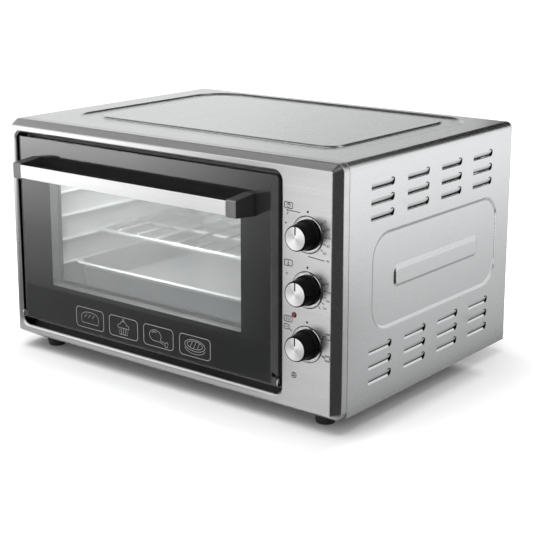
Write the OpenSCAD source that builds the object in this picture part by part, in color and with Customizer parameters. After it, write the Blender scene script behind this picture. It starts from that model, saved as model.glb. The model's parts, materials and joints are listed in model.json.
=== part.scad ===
// Electric countertop oven: a sheet-metal casing round a baking cavity, with a glass door that
// drops down on two pins at its lower corners, three turning controls beside the door, louvred
// and embossed side panels, two pairs of rod heaters, a circulation fan, a wire rack and a tray.
// Millimetres. The origin is on the table under the middle of the oven, +Z up, front towards -Y.

/* [Body] */
// Width over the casing and the front frame
body_w = 624; // [590:1:660]
// Height of the casing without the feet
body_h = 345; // [325:1:370]
// Depth from the front face to the outside of the back panel
body_d = 460; // [430:1:500]
// Thickness of the outer sheet metal
sheet = 0.5; // [0.4:0.1:0.8]
// Radius of the bends along the casing's top and rear edges
bend_r = 9; // [7:0.5:11]
// Gap between the front frame and the casing, and between the casing's panels
seam = 0.5; // [0.3:0.1:0.8]
// Width of the flanges that the back panel is screwed to
flange_w = 20; // [16:1:24]

/* [Front frame] */
// Width of the sloped rim round the front face
rim_w = 8.5; // [6:0.5:9]
// Depth of the sloped rim
rim_d = 14; // [10:1:18]
// Depth of the frame from its front face to its rear edge
frame_d = 26; // [26:0.5:30]
// Corner radius of the frame's outline
frame_r = 11; // [10.5:0.5:14]
// Width of the control panel beside the door opening
panel_w = 90.7; // [86:0.1:100]
// Rim left of the door opening
opening_left = 16.5; // [9.5:0.5:20]
// Rim under the door opening
opening_bottom = 19.5; // [11:0.5:24]
// Rim over the door opening
opening_top = 19; // [14:0.5:24]
// Corner radius of the door opening
opening_r = 12; // [8:1:16]
// Depth of the recess that the door sits in
recess_d = 25; // [25:0.5:26]

/* [Door] */
// Gap left of the door
door_gap_left = 3.5; // [3.5:0.1:5]
// Gap right of the door
door_gap_right = 7.3; // [4:0.1:9]
// Gap over the door
door_gap_top = 5; // [3:0.5:8]
// Gap under the door
door_gap_bottom = 13; // [9:0.5:16]
// Thickness of the door without its handle
door_t = 24; // [20:0.5:24]
// Thickness of each glass pane
glass_t = 4; // [3:0.5:5]
// Width of the sloped trim along each side of the glass
trim_w = 8.5; // [7:0.5:12]
// Depth that the trim slopes back
trim_slope = 5; // [3:0.5:6]
// Corner radius of the door
door_r = 6; // [4:0.5:8]
// Door area left of the window
window_left = 68.8; // [55:0.1:80]
// Door area right of the window
window_right = 62.2; // [55:0.1:80]
// Door area under the window
window_bottom = 62; // [56:0.5:80]
// Door area over the window
window_top = 50; // [40:0.5:60]
// Height of the hinge axis over the door's lower edge
hinge_up = 3.5; // [3.2:0.1:5]
// Depth of the hinge axis behind the glass's front
hinge_in = 6; // [5:0.5:8]
// Radius of the hinge pins
pin_r = 3; // [2:0.25:3]
// Thickness of the hinge brackets and of the door stays
bracket_t = 2; // [1.5:0.1:2]
// Radius of the middle of the curved door stays, from the hinge axis
stay_r = 60; // [50:1:66]
// Width of the curved door stays
stay_w = 10; // [8:1:12]

/* [Handle] */
// Distance from the door's sides to the handle's ends
handle_inset = 36; // [20:1:60]
// Distance from the door's top edge to the handle's middle
handle_drop = 44; // [36:1:60]
// Distance from the glass to the handle's front
handle_reach = 40; // [34:1:44]
// Height of the grip
grip_h = 20; // [16:0.5:22]
// Depth of the grip's dark bar
grip_d = 12; // [9:0.5:15]
// Thickness of the bright strip on the grip's front
strip_t = 2; // [1.5:0.1:3]
// Width of each handle end
handle_end_w = 17; // [13:0.5:22]
// Height of a handle end at its front
handle_end_h = 24.5; // [24:0.5:28]
// Height of a handle end at the glass
handle_root_h = 32; // [28:0.5:38]

/* [Controls] */
// Distance from the casing's top to the top control
knob_drop = 95.3; // [85:0.1:105]
// Distance between neighbouring controls
knob_pitch = 74; // [66:0.5:80]
// Distance from the frame's right side to the controls
knob_inset = 46.5; // [42:0.5:50]
// Distance from the panel to a knob's face
knob_reach = 27; // [22:0.5:32]
// Radius of a knob at its grip
knob_r = 18.5; // [17:0.25:20]
// Radius of the metal disc in a knob's face
disc_r = 15.6; // [13:0.1:16]
// Radius of the bezel round a knob
bezel_r = 24; // [22:0.5:27]
// Number of grip flutes round a knob
flutes = 36; // [24:1:48]
// Radius of the control spindles
spindle_r = 3; // [2.5:0.25:3.5]
// Distance from the frame's right side to the lamp
lamp_inset = 67.7; // [64:0.1:72]
// Height of the lamp over the lowest control
lamp_up = 36.4; // [30:0.1:44]
// Radius of the lamp's lens
lamp_r = 4; // [3:0.25:5]

/* [Casing pattern] */
// Length of a louvre
louvre_l = 56; // [40:1:62]
// Height of a louvre
louvre_h = 9.5; // [7:0.5:12]
// How far a louvre is pressed in
louvre_d = 3.6; // [2.5:0.1:5]
// Distance between columns of louvres
louvre_step = 88; // [72:1:90]
// Distance between rows of louvres
louvre_row = 21; // [18:0.5:24]
// Distance from the casing's front edge to the first louvre
louvre_front = 49; // [40:1:55]
// Distance from the casing's top to the highest slit
louvre_top = 44; // [36:0.5:50]
// Distance from the casing's lower edge to the lowest slit
louvre_bottom = 32; // [20:0.5:38]
// Depth of the large pressed field on each side
field_d = 2; // [1:0.1:3]
// Distance from the casing's front edge to the pressed field
field_front = 55; // [45:1:80]
// Distance from the casing's back to the pressed field
field_rear = 44; // [34:1:80]
// Distance from the casing's top to the pressed field
field_top = 105; // [100:1:115]
// Distance from the casing's lower edge to the pressed field
field_bottom = 102; // [90:1:110]
// Corner radius of the pressed field
field_r = 38; // [20:1:50]
// Length of the raised bar in the field
bar_l = 224; // [160:1:240]
// Height of the raised bar in the field
bar_h = 30; // [22:1:40]
// Corner radius of the raised bar
bar_r = 9; // [6:0.5:11]
// Distance from the casing's sides to the channel pressed into its top
channel_side = 50; // [40:0.5:90]
// Distance from the casing's front edge to the channel
channel_front = 46; // [40:1:80]
// Distance from the casing's back to the channel
channel_rear = 22; // [16:1:60]
// Corner radius of the channel's outer edge
channel_r = 60; // [45:1:80]
// Width of the channel with its slopes
channel_w = 36; // [20:0.5:40]
// Depth of the channel
channel_h = 2.5; // [1.5:0.1:4]
// Width of the pressed slopes
slope = 3.5; // [2:0.1:5]

/* [Cavity] */
// Distance from the door opening's left edge to the cavity
cavity_left = 37; // [32:0.5:45]
// Distance from the door opening's right edge to the cavity
cavity_right = 39.8; // [37:0.1:46]
// Distance from the door opening's lower edge to the cavity floor
cavity_bottom = 28.5; // [24:0.5:34]
// Distance from the door opening's upper edge to the cavity ceiling
cavity_top = 18; // [12:0.5:26]
// Distance from the cavity's back wall to the back panel
cavity_rear = 68; // [66:1:80]
// Thickness of the cavity's sheet metal
liner = 0.4; // [0.3:0.1:0.6]
// Height of the lowest shelf ledge over the cavity floor
shelf_up = 66; // [60:1:72]
// Distance between shelf ledges
shelf_step = 38; // [32:1:42]
// Number of shelf ledges on each side
shelves = 4; // [3:1:4]
// How far a shelf ledge stands out
ledge_d = 9; // [7:0.5:11]
// Radius of the rod heaters
heater_r = 3.25; // [3:0.25:4]
// Distance from the rod heaters to the cavity floor or ceiling
heater_off = 16; // [13:0.5:20]
// Distance of the front and rear rod heaters from the middle of the cavity
heater_apart = 83; // [60:1:110]
// Radius of the fan's opening in the back wall
fan_r = 70; // [60:1:76]

/* [Rack and tray] */
// Side play of the rack and the tray between the runners
shelf_play = 3; // [2:0.25:4]
// Distance from the cavity's mouth to the rack's front
rack_front = 104; // [90:1:120]
// Distance from the rack and the tray to the back wall
shelf_rear = 10; // [9:0.5:20]
// Radius of the rack's outer wire
rack_r = 2.5; // [2:0.25:3]
// Radius of the rack's bars
bar_wire_r = 1.6; // [1.2:0.1:2]
// Distance between the rack's bars
rack_step = 42; // [36:0.5:44]
// Distance from the cavity's mouth to the tray's front
tray_front = 44; // [40:1:60]
// Depth of the tray
tray_h = 40; // [25:1:44]
// Sheet thickness of the tray
tray_t = 0.6; // [0.5:0.1:1]
// Corner radius of the tray
tray_r = 22; // [16:1:30]

/* [Feet] */
// Height of the feet under the casing's lower edge
foot_h = 20; // [18:1:34]
// Radius of a foot at its top
foot_r = 17; // [14:0.5:17]
// Radius of a foot at the table
foot_tip_r = 13; // [10:0.5:15]
// Distance from the casing's sides to the front feet
foot_side = 46.5; // [40:0.5:60]
// Distance from the front face to the front feet
foot_front = 44; // [44:0.5:60]
// Distance from the back panel to the rear feet
foot_rear = 44; // [34:0.5:70]
// How much closer together the rear feet stand on each side
foot_tuck = 30; // [0:1:60]

/* [Hidden] */
$fn = 64;
running_fit = 0.05;
snug = 0.1;
seat = 0.3;
over = 1;

// Casing
half_w = body_w / 2;
screw_r = 2;
screw_head_r = 4;
screw_head_h = 2;
rear_proud = screw_head_h;
front_y = handle_reach - (body_d + rear_proud + handle_reach) / 2;
casing_y0 = frame_d + seam;
casing_back = body_d - sheet;
bend_x = half_w - bend_r;
bend_y = casing_back - bend_r;
bend_z = body_h - bend_r;
channel_l = body_w - 2 * channel_side;
skirt_z = bend_z - 2;
side_z0 = 1;
side_z1 = skirt_z - seam;
flange_x0 = bend_x - flange_w;
rear_flange_half = flange_x0 - 2;
back_half = bend_x - 1;
back_z0 = 4;
back_z1 = bend_z - 1;
base_z = 3;
base_top = base_z + sheet;
base_flange_h = 12;
base_rear_h = 27;
vent_l = 36;
vent_w = 4;
back_vent_step = [50, 14];
base_vent_step = [60, 22];

// Door opening and door
opening_x0 = -half_w + opening_left;
opening_x1 = half_w - panel_w;
opening_z0 = opening_bottom;
opening_z1 = body_h - opening_top;
opening_w = opening_x1 - opening_x0;
opening_h = opening_z1 - opening_z0;
opening_x = (opening_x0 + opening_x1) / 2;
opening_z = (opening_z0 + opening_z1) / 2;
door_x0 = opening_x0 + door_gap_left;
door_x1 = opening_x1 - door_gap_right;
door_z0 = opening_z0 + door_gap_bottom;
door_z1 = opening_z1 - door_gap_top;
door_w = door_x1 - door_x0;
door_h = door_z1 - door_z0;
door_x = (door_x0 + door_x1) / 2;
door_z = (door_z0 + door_z1) / 2;
glass_x0 = door_x0 + trim_w + snug;
glass_x1 = door_x1 - trim_w - snug;
window_x0 = door_x0 + window_left;
window_x1 = door_x1 - window_right;
window_z0 = door_z0 + window_bottom;
window_z1 = door_z1 - window_top;
window_w = window_x1 - window_x0;
window_h = window_z1 - window_z0;
window_x = (window_x0 + window_x1) / 2;
window_z = (window_z0 + window_z1) / 2;
window_r = 3;
window_lip = 5;
frame_edge = 3.4;
pan_w = door_w - 2 * frame_edge;
pan_h = door_h - 2 * frame_edge;
hinge_y = hinge_in;
hinge_z = door_z0 + hinge_up;
bracket_gap = 0.8;
pin_tip = bracket_gap + bracket_t + 0.3;
pin_in = trim_w - seat;
trim_z0 = hinge_z + pin_r + 4;
stay_inset = 8;
stay_x = [door_x0 + stay_inset - bracket_t, door_x1 - stay_inset];
stay_tail = -17;
stay_root = 80;
stay_plate = [5, 1.2];
stay_plate_up = 10;
stay_slot_low = stay_r - stay_w / 2 - 6;
stay_slot_high = stay_r + stay_w / 2;

// Handle
handle_x0 = door_x0 + handle_inset;
handle_x1 = door_x1 - handle_inset;
handle_len = handle_x1 - handle_x0;
handle_z = door_z1 - handle_drop;
handle_screw_z = [handle_z - handle_end_h / 4, handle_z + handle_end_h / 4];
handle_screw_x = [handle_x0 + handle_end_w / 2, handle_x1 - handle_end_w / 2];
handle_screw_in = 14;

// Controls
knob_x = half_w - knob_inset;
knob_z = [for (i = [0:2]) body_h - knob_drop - i * knob_pitch];
lamp_x = half_w - lamp_inset;
lamp_z = knob_z[2] + lamp_up;
bezel_t = 1.4;
knob_gap = 0.6;
knob_back = -bezel_t - knob_gap;
skirt_r = knob_r + 2;
face_r = knob_r - 1.4;
disc_t = 1;
pointer_w = 1.8;
pointer_l = 11;
spindle_in = 18;
spindle_out = knob_reach - 6;
control_plate_t = 1.5;
control_plate_h = 22;
control_ear = 6;
timer_w = 44;
timer_d = 32;
timer_bell_r = 17;
timer_bell_d = 9;
selector_r = 20;
selector_d = 34;
blade_w = 6.3;
blade_t = 0.8;
blade_out = 8;

// Cavity
mouth_back = recess_d + liner;
mouth_lap = 5;
cavity_x0 = opening_x0 + cavity_left;
cavity_x1 = opening_x1 - cavity_right;
cavity_z0 = opening_z0 + cavity_bottom;
cavity_z1 = opening_z1 - cavity_top;
cavity_y1 = body_d - cavity_rear;
cavity_w = cavity_x1 - cavity_x0;
cavity_h = cavity_z1 - cavity_z0;
cavity_l = cavity_y1 - mouth_back;
cavity_x = (cavity_x0 + cavity_x1) / 2;
cavity_y = (mouth_back + cavity_y1) / 2;
cavity_z = (cavity_z0 + cavity_z1) / 2;
shield_x = cavity_x1 + 14;
shield_rear = 20;
shield_top = 15;
runner_t = 0.6;
runner_half = cavity_w / 2 - runner_t;
runner_in = 16;
ledge_h = 5;
ledge_z = [for (i = [0:shelves - 1]) cavity_z0 + shelf_up + i * shelf_step];
runner_top = ledge_z[shelves - 1] + 2 * ledge_h;
heater_y = [cavity_y - heater_apart, cavity_y + heater_apart];
heater_z = [cavity_z1 - heater_off, cavity_z0 + heater_off];
heater_out = 7;
bush_r = 8;
bush_neck_r = 5;
bush_t = 4;
fan_x = cavity_x;
fan_z = cavity_z;
fan_cover_d = 7;
fan_cover_rim = 14;
fan_cover_slots = 24;
fan_sheet = 0.6;
fan_shaft_r = 3;
fan_hub_r = 9;
fan_blades = 16;
fan_clear = 3.5;
housing_d = 27;
housing_room = 8;
housing_flange = 8;
housing_hole_r = fan_shaft_r + 4;
housing_y1 = cavity_y1 + liner + housing_d;
impeller_r = fan_r - housing_room;
impeller_y0 = cavity_y1 + liner + fan_clear;
impeller_y1 = housing_y1 - liner - fan_clear;
motor_clear = 8;
motor_d = body_d - housing_y1 - motor_clear;
motor_ear = [84, 22];
motor_ear_t = 2;
motor_coil_w = 40;
motor_coil_d = 12;
motor_core = [60, 58];
motor_core_d = 14;
motor_core_drop = 6;
motor_bearing_r = 14;
motor_end = 4;
sensor_r = 3;
sensor_y = cavity_y - 5;
sensor_l = 90;
sensor_z = (runner_top + heater_z[0]) / 2;
sensor_x = cavity_x1 - sensor_r - seat;
capillary_r = 0.8;
capillary_bend = 6;
capillary_y = sensor_y - 12;
thermostat_w = 40;
thermostat_h = 34;
thermostat_d = 23;
thermostat_boss = 4;
thermostat_boss_r = 9;
thermostat_back = sheet + thermostat_d + thermostat_boss;

// Rack and tray
shelf_half = runner_half - shelf_play;
rack_y0 = mouth_back + rack_front;
rack_y1 = cavity_y1 - shelf_rear;
rack_z = ledge_z[1] + seat + rack_r;
rack_corner = 14;
tray_y0 = mouth_back + tray_front;
tray_y1 = cavity_y1 - shelf_rear;
tray_z = ledge_z[0] + seat;
tray_rim = ledge_d - shelf_play + 2;
tray_w = 2 * (shelf_half - tray_rim);
tray_l = tray_y1 - tray_y0 - 2 * tray_rim;
tray_taper = 7;

// Feet, and the screws that hold the feet and the back panel
foot_top = base_z;
foot_at = [
    [-half_w + foot_side, foot_front],
    [half_w - foot_side, foot_front],
    [-half_w + foot_side + foot_tuck, body_d - foot_rear],
    [half_w - foot_side - foot_tuck, body_d - foot_rear]
];
foot_screw_l = 14;
back_screw_l = 6;
side_screw_x = bend_x - flange_w / 2;
side_screw_z = [back_z0 + 34, body_h / 2, back_z1 - 34];
edge_screw_x = half_w / 2;
edge_screw_z = [base_top + base_rear_h / 2, bend_z - flange_w / 2];
back_screws = concat(
    [for (x = [-side_screw_x, side_screw_x], z = side_screw_z) [x, z]],
    [for (x = [-edge_screw_x, edge_screw_x], z = edge_screw_z) [x, z]]
);
gland_x = half_w - 60;
gland_z = base_top + base_rear_h + 22;
gland_r = 8;

bright_sheet = [0.80, 0.81, 0.82];
grey_sheet = [0.68, 0.69, 0.70];
black_part = [0.07, 0.07, 0.08];
dark_glass = [0.10, 0.10, 0.11, 0.85];

// Moves a piece drawn from the front face and the casing's lower edge to its place over the table
module stand() {
    translate([0, front_y, foot_h]) children();
}

// Extrudes an outline drawn in X and Z backwards from y0
module plate_y(y0, t) {
    translate([0, y0 + t, 0]) rotate([90, 0, 0]) linear_extrude(t) children();
}

// Extrudes an outline drawn in Y and Z to the right from x0
module plate_x(x0, t) {
    translate([x0, 0, 0]) rotate([90, 0, 90]) linear_extrude(t) children();
}

// Extrudes an outline drawn in X and Y upwards from z0
module plate_z(z0, t) {
    translate([0, 0, z0]) linear_extrude(t) children();
}

module rod_x(r, x0, x1) {
    translate([x0, 0, 0]) rotate([0, 90, 0]) cylinder(r = r, h = x1 - x0);
}

module rod_y(r, y0, y1) {
    translate([0, y0, 0]) rotate([-90, 0, 0]) cylinder(r = r, h = y1 - y0);
}

module rod_z(r, z0, z1) {
    translate([0, 0, z0]) cylinder(r = r, h = z1 - z0);
}

// Rectangle with round corners, centred
module rrect(w, h, r) {
    square([w, h - 2 * r], center = true);
    square([w - 2 * r, h], center = true);
    for (x = [-1, 1], y = [-1, 1])
        translate([x * (w / 2 - r), y * (h / 2 - r)]) circle(r);
}

// Slot with round ends, centred, along the first axis
module slot(l, w) {
    square([l - w, w], center = true);
    for (x = [-1, 1])
        translate([x * (l - w) / 2, 0]) circle(w / 2);
}

// Bar of trapezium section along X
module wedge_bar(l, w, inset, d) {
    rotate([90, 0, 90]) translate([0, 0, -l / 2]) linear_extrude(l)
        polygon([[-w / 2, 0], [w / 2, 0], [w / 2 - inset, d], [inset - w / 2, d]]);
}

// Block on a round-cornered outline whose four sides slope in by inset over its height
module sloped_block(w, h, r, inset, d) {
    wedge_bar(w - 2 * r, h, inset, d);
    rotate(90) wedge_bar(h - 2 * r, w, inset, d);
    for (x = [-1, 1], y = [-1, 1])
        translate([x * (w / 2 - r), y * (h / 2 - r), 0]) cylinder(h = d, r1 = r, r2 = r - inset);
}

// Sloped block with a straight plug under it, to cut cleanly through the face that it starts on
module sloped_cut(w, h, r, inset, d) {
    sloped_block(w, h, r, inset, d);
    translate([0, 0, -over]) linear_extrude(over + snug) rrect(w, h, r);
}

// Front frame

module frame_block(o, y_end) {
    w = body_w - 2 * o;
    h = body_h - 2 * o;
    translate([0, rim_d + o, body_h / 2]) rotate([90, 0, 0])
        sloped_block(w, h, frame_r - o, rim_w, rim_d);
    plate_y(rim_d + o, y_end - rim_d - o) translate([0, body_h / 2]) rrect(w, h, frame_r - o);
}

module front_frame() {
    color(bright_sheet) stand() difference() {
        union() {
            difference() {
                frame_block(0, frame_d);
                frame_block(sheet, frame_d + over);
            }
            plate_y(0, recess_d) translate([opening_x, opening_z])
                rrect(opening_w + 2 * sheet, opening_h + 2 * sheet, opening_r + sheet);
        }
        plate_y(-over, recess_d + 2 * over) translate([opening_x, opening_z])
            rrect(opening_w, opening_h, opening_r);
        for (z = knob_z)
            translate([knob_x, 0, z]) rod_y(spindle_r + 1, -over, sheet + over);
        translate([lamp_x, 0, lamp_z]) rod_y(lamp_r + snug, -over, sheet + over);
    }
}

// Casing

module lid_block(o, y0, z0) {
    r = bend_r - o;
    translate([-bend_x, y0, z0]) cube([2 * bend_x, bend_y - y0, bend_z + r - z0]);
    translate([-bend_x - r, y0, z0]) cube([2 * (bend_x + r), bend_y - y0, bend_z - z0]);
    translate([-bend_x, y0, z0]) cube([2 * bend_x, bend_y + r - y0, bend_z - z0]);
    translate([0, bend_y, bend_z]) rod_x(r, -bend_x, bend_x);
    for (x = [-bend_x, bend_x]) {
        translate([x, 0, bend_z]) rod_y(r, y0, bend_y);
        translate([x, bend_y, 0]) rod_z(r, z0, bend_z);
        translate([x, bend_y, bend_z]) sphere(r);
    }
}

// Ring sunk into the lid, or with a thickness o of sheet under it
module top_channel(o) {
    l = casing_back - channel_rear - casing_y0 - channel_front;
    island_x = channel_l - 2 * channel_w + 2 * slope - 2 * o;
    island_y = l - 2 * channel_w + 2 * slope - 2 * o;
    translate([0, casing_y0 + channel_front + l / 2, body_h - o]) difference() {
        rotate([180, 0, 0]) sloped_cut(channel_l + 2 * o, l + 2 * o, channel_r + o, slope, channel_h);
        translate([0, 0, -channel_h])
            sloped_cut(island_x, island_y, channel_r - channel_w + slope - o, slope, channel_h + over);
    }
}

module top_panel() {
    color(bright_sheet) stand() {
        difference() {
            lid_block(0, casing_y0, skirt_z);
            difference() {
                lid_block(sheet, casing_y0 - over, skirt_z - over);
                top_channel(sheet);
            }
            top_channel(0);
            translate([-body_w, 0, 0]) cube([2 * body_w, 2 * body_d, skirt_z]);
        }
        difference() {
            translate([-rear_flange_half, casing_back - sheet, bend_z - flange_w])
                cube([2 * rear_flange_half, sheet, flange_w]);
            back_screw_holes(casing_back);
        }
    }
}

module back_screw_holes(y) {
    for (p = back_screws)
        translate([p[0], 0, p[1]]) rod_y(screw_r + snug, y - 2 * over, y + 2 * over);
}

module louvre_outline(l) {
    r = louvre_h * 0.6;
    square([l - r, louvre_h]);
    translate([0, r]) square([l, louvre_h - r]);
    translate([l - r, r]) circle(r);
}

// One louvre: the tongue hangs from the upper edge, leans in and is closed at its front end
module louvre_tongue() {
    lip = 1;
    clear_end = 2.4;
    tongue = [
        [0, louvre_h], [0, louvre_h + snug], [-sheet, louvre_h + snug], [-sheet, louvre_h],
        [-louvre_d - sheet, lip], [-louvre_d, lip]
    ];
    cheek = [
        [0, louvre_h], [-sheet, louvre_h], [-louvre_d - sheet, lip], [-louvre_d - sheet, 0],
        [-sheet, -snug], [0, -snug]
    ];
    intersection() {
        plate_y(0, louvre_l - clear_end) polygon(tongue);
        plate_x(-louvre_d - 2, louvre_d + 3) translate([-snug, 0]) union() {
            louvre_outline(louvre_l - clear_end);
            translate([0, louvre_h / 2]) square([louvre_l - clear_end, louvre_h]);
        }
    }
    plate_y(-snug, sheet + snug) polygon(cheek);
}

module at_louvres() {
    low = side_z0 + louvre_bottom;
    high = body_h - louvre_top;
    for (column = [0:3], row = [0:2], z = [low + row * louvre_row, high - row * louvre_row])
        translate([0, casing_y0 + louvre_front + column * louvre_step, z]) children();
}

// Right side panel with its outer face at x = 0
module side_panel() {
    field_l = casing_back - field_rear - casing_y0 - field_front;
    field_h = body_h - field_top - side_z0 - field_bottom;
    field_y = casing_y0 + field_front + field_l / 2;
    field_z = side_z0 + field_bottom + field_h / 2;
    h = side_z1 - side_z0;
    difference() {
        union() {
            plate_x(-sheet, sheet) translate([casing_y0, side_z0]) square([bend_y - casing_y0, h]);
            translate([-bend_r, bend_y, side_z0]) rotate_extrude(angle = 90)
                translate([bend_r - sheet, 0]) square([sheet, h]);
            translate([-bend_r - flange_w, casing_back - sheet, side_z0]) cube([flange_w, sheet, h]);
            translate([-sheet, field_y, field_z]) rotate([0, -90, 0])
                sloped_block(field_h + sheet, field_l + sheet, field_r + sheet / 2, slope, field_d);
        }
        difference() {
            translate([0, field_y, field_z]) rotate([0, -90, 0])
                sloped_cut(field_h - sheet, field_l - sheet, field_r - sheet / 2, slope, field_d);
            translate([-field_d - over, field_y, field_z]) rotate([0, 90, 0])
                raised_bar(sheet / 2, field_d + over);
        }
        translate([-field_d - sheet, field_y, field_z]) rotate([0, 90, 0]) bar_cut();
        at_louvres() plate_x(-sheet - over, sheet + 2 * over) louvre_outline(louvre_l);
        translate([-half_w, 0, 0]) back_screw_holes(casing_back);
    }
    at_louvres() louvre_tongue();
}

module raised_bar(o, d) {
    rise = slope * d / field_d;
    extra = rise - slope;
    sloped_block(bar_h + 2 * (o + extra), bar_l + 2 * (o + extra), bar_r + o + extra, rise, d);
}

module bar_cut() {
    sloped_cut(bar_h - sheet, bar_l - sheet, bar_r - sheet / 2, slope, field_d);
}

module right_side_panel() {
    color(bright_sheet) stand() translate([half_w, 0, 0]) side_panel();
}

module left_side_panel() {
    color(bright_sheet) stand() mirror([1, 0, 0]) translate([half_w, 0, 0]) side_panel();
}

module vent_grid(columns, rows, step) {
    for (i = [0:columns - 1], j = [0:rows - 1])
        translate([(i - (columns - 1) / 2) * step[0], (j - (rows - 1) / 2) * step[1]]) slot(vent_l, vent_w);
}

module back_panel() {
    color(bright_sheet) stand() difference() {
        plate_y(casing_back, sheet) translate([0, (back_z0 + back_z1) / 2])
            rrect(2 * back_half, back_z1 - back_z0, 8);
        plate_y(casing_back - over, sheet + 2 * over) {
            translate([fan_x, fan_z]) vent_grid(4, 6, back_vent_step);
            translate([flange_x0 - vent_l, knob_z[0]]) vent_grid(1, 6, back_vent_step);
        }
        back_screw_holes(casing_back);
        translate([gland_x, 0, gland_z]) rod_y(gland_r + snug, casing_back - over, body_d + over);
    }
}

module base_panel() {
    half = half_w - sheet;
    l = bend_y - casing_y0;
    color(grey_sheet) stand() difference() {
        union() {
            difference() {
                translate([-half, casing_y0, base_z]) cube([2 * half, l, base_flange_h]);
                translate([sheet - half, casing_y0 - over, base_top])
                    cube([2 * (half - sheet), l + 2 * over, base_flange_h]);
            }
            translate([-rear_flange_half, casing_y0, base_z])
                cube([2 * rear_flange_half, casing_back - casing_y0, sheet]);
            translate([-rear_flange_half, casing_back - sheet, base_z])
                cube([2 * rear_flange_half, sheet, sheet + base_rear_h]);
        }
        translate([0, cavity_y, 0]) plate_z(base_z - over, sheet + 2 * over) vent_grid(6, 8, base_vent_step);
        back_screw_holes(casing_back);
        for (p = foot_at)
            translate([p[0], p[1], 0]) rod_z(screw_r + snug, base_z - over, base_top + over);
    }
}

// Cavity

module cavity_mouth() {
    color(grey_sheet) stand() difference() {
        plate_y(recess_d, liner) translate([opening_x, opening_z])
            rrect(opening_w + 2 * mouth_lap, opening_h + 2 * mouth_lap, opening_r);
        plate_y(recess_d - over, liner + 2 * over) translate([cavity_x0, cavity_z0])
            square([cavity_w, cavity_h]);
        for (x = stay_x)
            stay_slot(x, recess_d, liner, bracket_t);
    }
}

// Slot for a curved door stay through a sheet at y
module stay_slot(x, y, t, room) {
    translate([x - room, y - over, hinge_z + stay_slot_low])
        cube([bracket_t + 2 * room, t + 2 * over, stay_slot_high - stay_slot_low]);
}

module cavity_wrap() {
    color(grey_sheet) stand() difference() {
        translate([cavity_x0 - liner, mouth_back, cavity_z0 - liner])
            cube([cavity_w + 2 * liner, cavity_l, cavity_h + 2 * liner]);
        translate([cavity_x0, mouth_back - over, cavity_z0 - liner - over])
            cube([cavity_w, cavity_l + 2 * over, cavity_h + liner + over]);
        for (y = heater_y, z = heater_z)
            translate([0, y, z]) rod_x(bush_neck_r + snug, cavity_x0 - 2 * over, cavity_x1 + 2 * over);
        translate([0, capillary_y, sensor_z]) rod_x(capillary_r + 1, cavity_x1 - over, cavity_x1 + 2 * over);
    }
}

module cavity_floor() {
    color(grey_sheet) stand() translate([cavity_x0, mouth_back, cavity_z0 - liner])
        cube([cavity_w, cavity_l, liner]);
}

module cavity_back() {
    lap = 4;
    color(grey_sheet) stand() difference() {
        plate_y(cavity_y1, liner) translate([cavity_x, cavity_z])
            square([cavity_w + 2 * lap, cavity_h + 2 * lap], center = true);
        translate([fan_x, 0, fan_z]) rod_y(fan_r, cavity_y1 - over, cavity_y1 + liner + over);
    }
}

module heat_shield() {
    depth = casing_back - shield_rear - mouth_back;
    high = body_h - shield_top - base_top;
    color(grey_sheet) stand() difference() {
        translate([shield_x, mouth_back, base_top]) cube([liner, depth, high]);
        translate([0, capillary_y, sensor_z]) rod_x(capillary_r + 2, shield_x - over, shield_x + 2 * over);
    }
}

// Shelf runner for the left wall, with the wall at x = 0
module shelf_runner() {
    low = ledge_z[0] - 2 * ledge_h;
    tip = runner_t + ledge_d;
    translate([0, cavity_y1 - shelf_rear, 0]) rotate([90, 0, 0])
        linear_extrude(cavity_y1 - shelf_rear - mouth_back - runner_in) union() {
            translate([0, low]) square([runner_t, runner_top - low]);
            for (z = ledge_z)
                polygon([[0, z - ledge_h], [tip, z - ledge_h / 3], [tip, z], [0, z]]);
        }
}

module left_shelf_runner() {
    color(bright_sheet) stand() translate([cavity_x0, 0, 0]) shelf_runner();
}

module right_shelf_runner() {
    color(bright_sheet) stand() translate([cavity_x1, 0, 0]) mirror([1, 0, 0]) shelf_runner();
}

// Pair of rod heaters across the cavity, with their terminals outside its walls
module heaters(z) {
    for (y = heater_y)
        translate([0, y, z]) {
            rod_x(heater_r, cavity_x0 - heater_out, cavity_x1 + heater_out);
            rod_x(heater_r / 2, cavity_x0 - heater_out - 4, cavity_x1 + heater_out + 4);
        }
}

module upper_heaters() {
    color([0.45, 0.43, 0.42]) stand() heaters(heater_z[0]);
}

module lower_heaters() {
    color([0.45, 0.43, 0.42]) stand() heaters(heater_z[1]);
}

// Heater bush for the right wall, with the wall's outer face at x = 0
module heater_bush() {
    rotate([0, 90, 0]) rotate_extrude()
        polygon([
            [heater_r + snug, -liner], [bush_neck_r, -liner], [bush_neck_r, 0], [bush_r, 0],
            [bush_r, bush_t - 1], [bush_r - 1, bush_t], [heater_r + snug, bush_t]
        ]);
}

module heater_bushes() {
    color([0.86, 0.84, 0.78]) stand()
        for (y = heater_y, z = heater_z) {
            translate([cavity_x1 + liner, y, z]) heater_bush();
            translate([cavity_x0 - liner, y, z]) mirror([1, 0, 0]) heater_bush();
        }
}

// Circulation fan

module fan_cover() {
    slot_l = fan_r / 2 - 4;
    slot_w = 4;
    color(bright_sheet) stand() translate([fan_x, cavity_y1, fan_z]) rotate([90, 0, 0]) difference() {
        rotate_extrude() polygon([
            [0, fan_cover_d - fan_sheet], [0, fan_cover_d], [fan_r - fan_cover_d, fan_cover_d],
            [fan_r + over, fan_sheet], [fan_r + fan_cover_rim, fan_sheet], [fan_r + fan_cover_rim, 0],
            [fan_r, 0], [fan_r - fan_cover_d - over, fan_cover_d - fan_sheet]
        ]);
        for (i = [0:fan_cover_slots - 1])
            rotate(i * 360 / fan_cover_slots) translate([fan_r - slot_l, 0, 0])
                linear_extrude(fan_cover_d + over) slot(slot_l, slot_w);
    }
}

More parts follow.
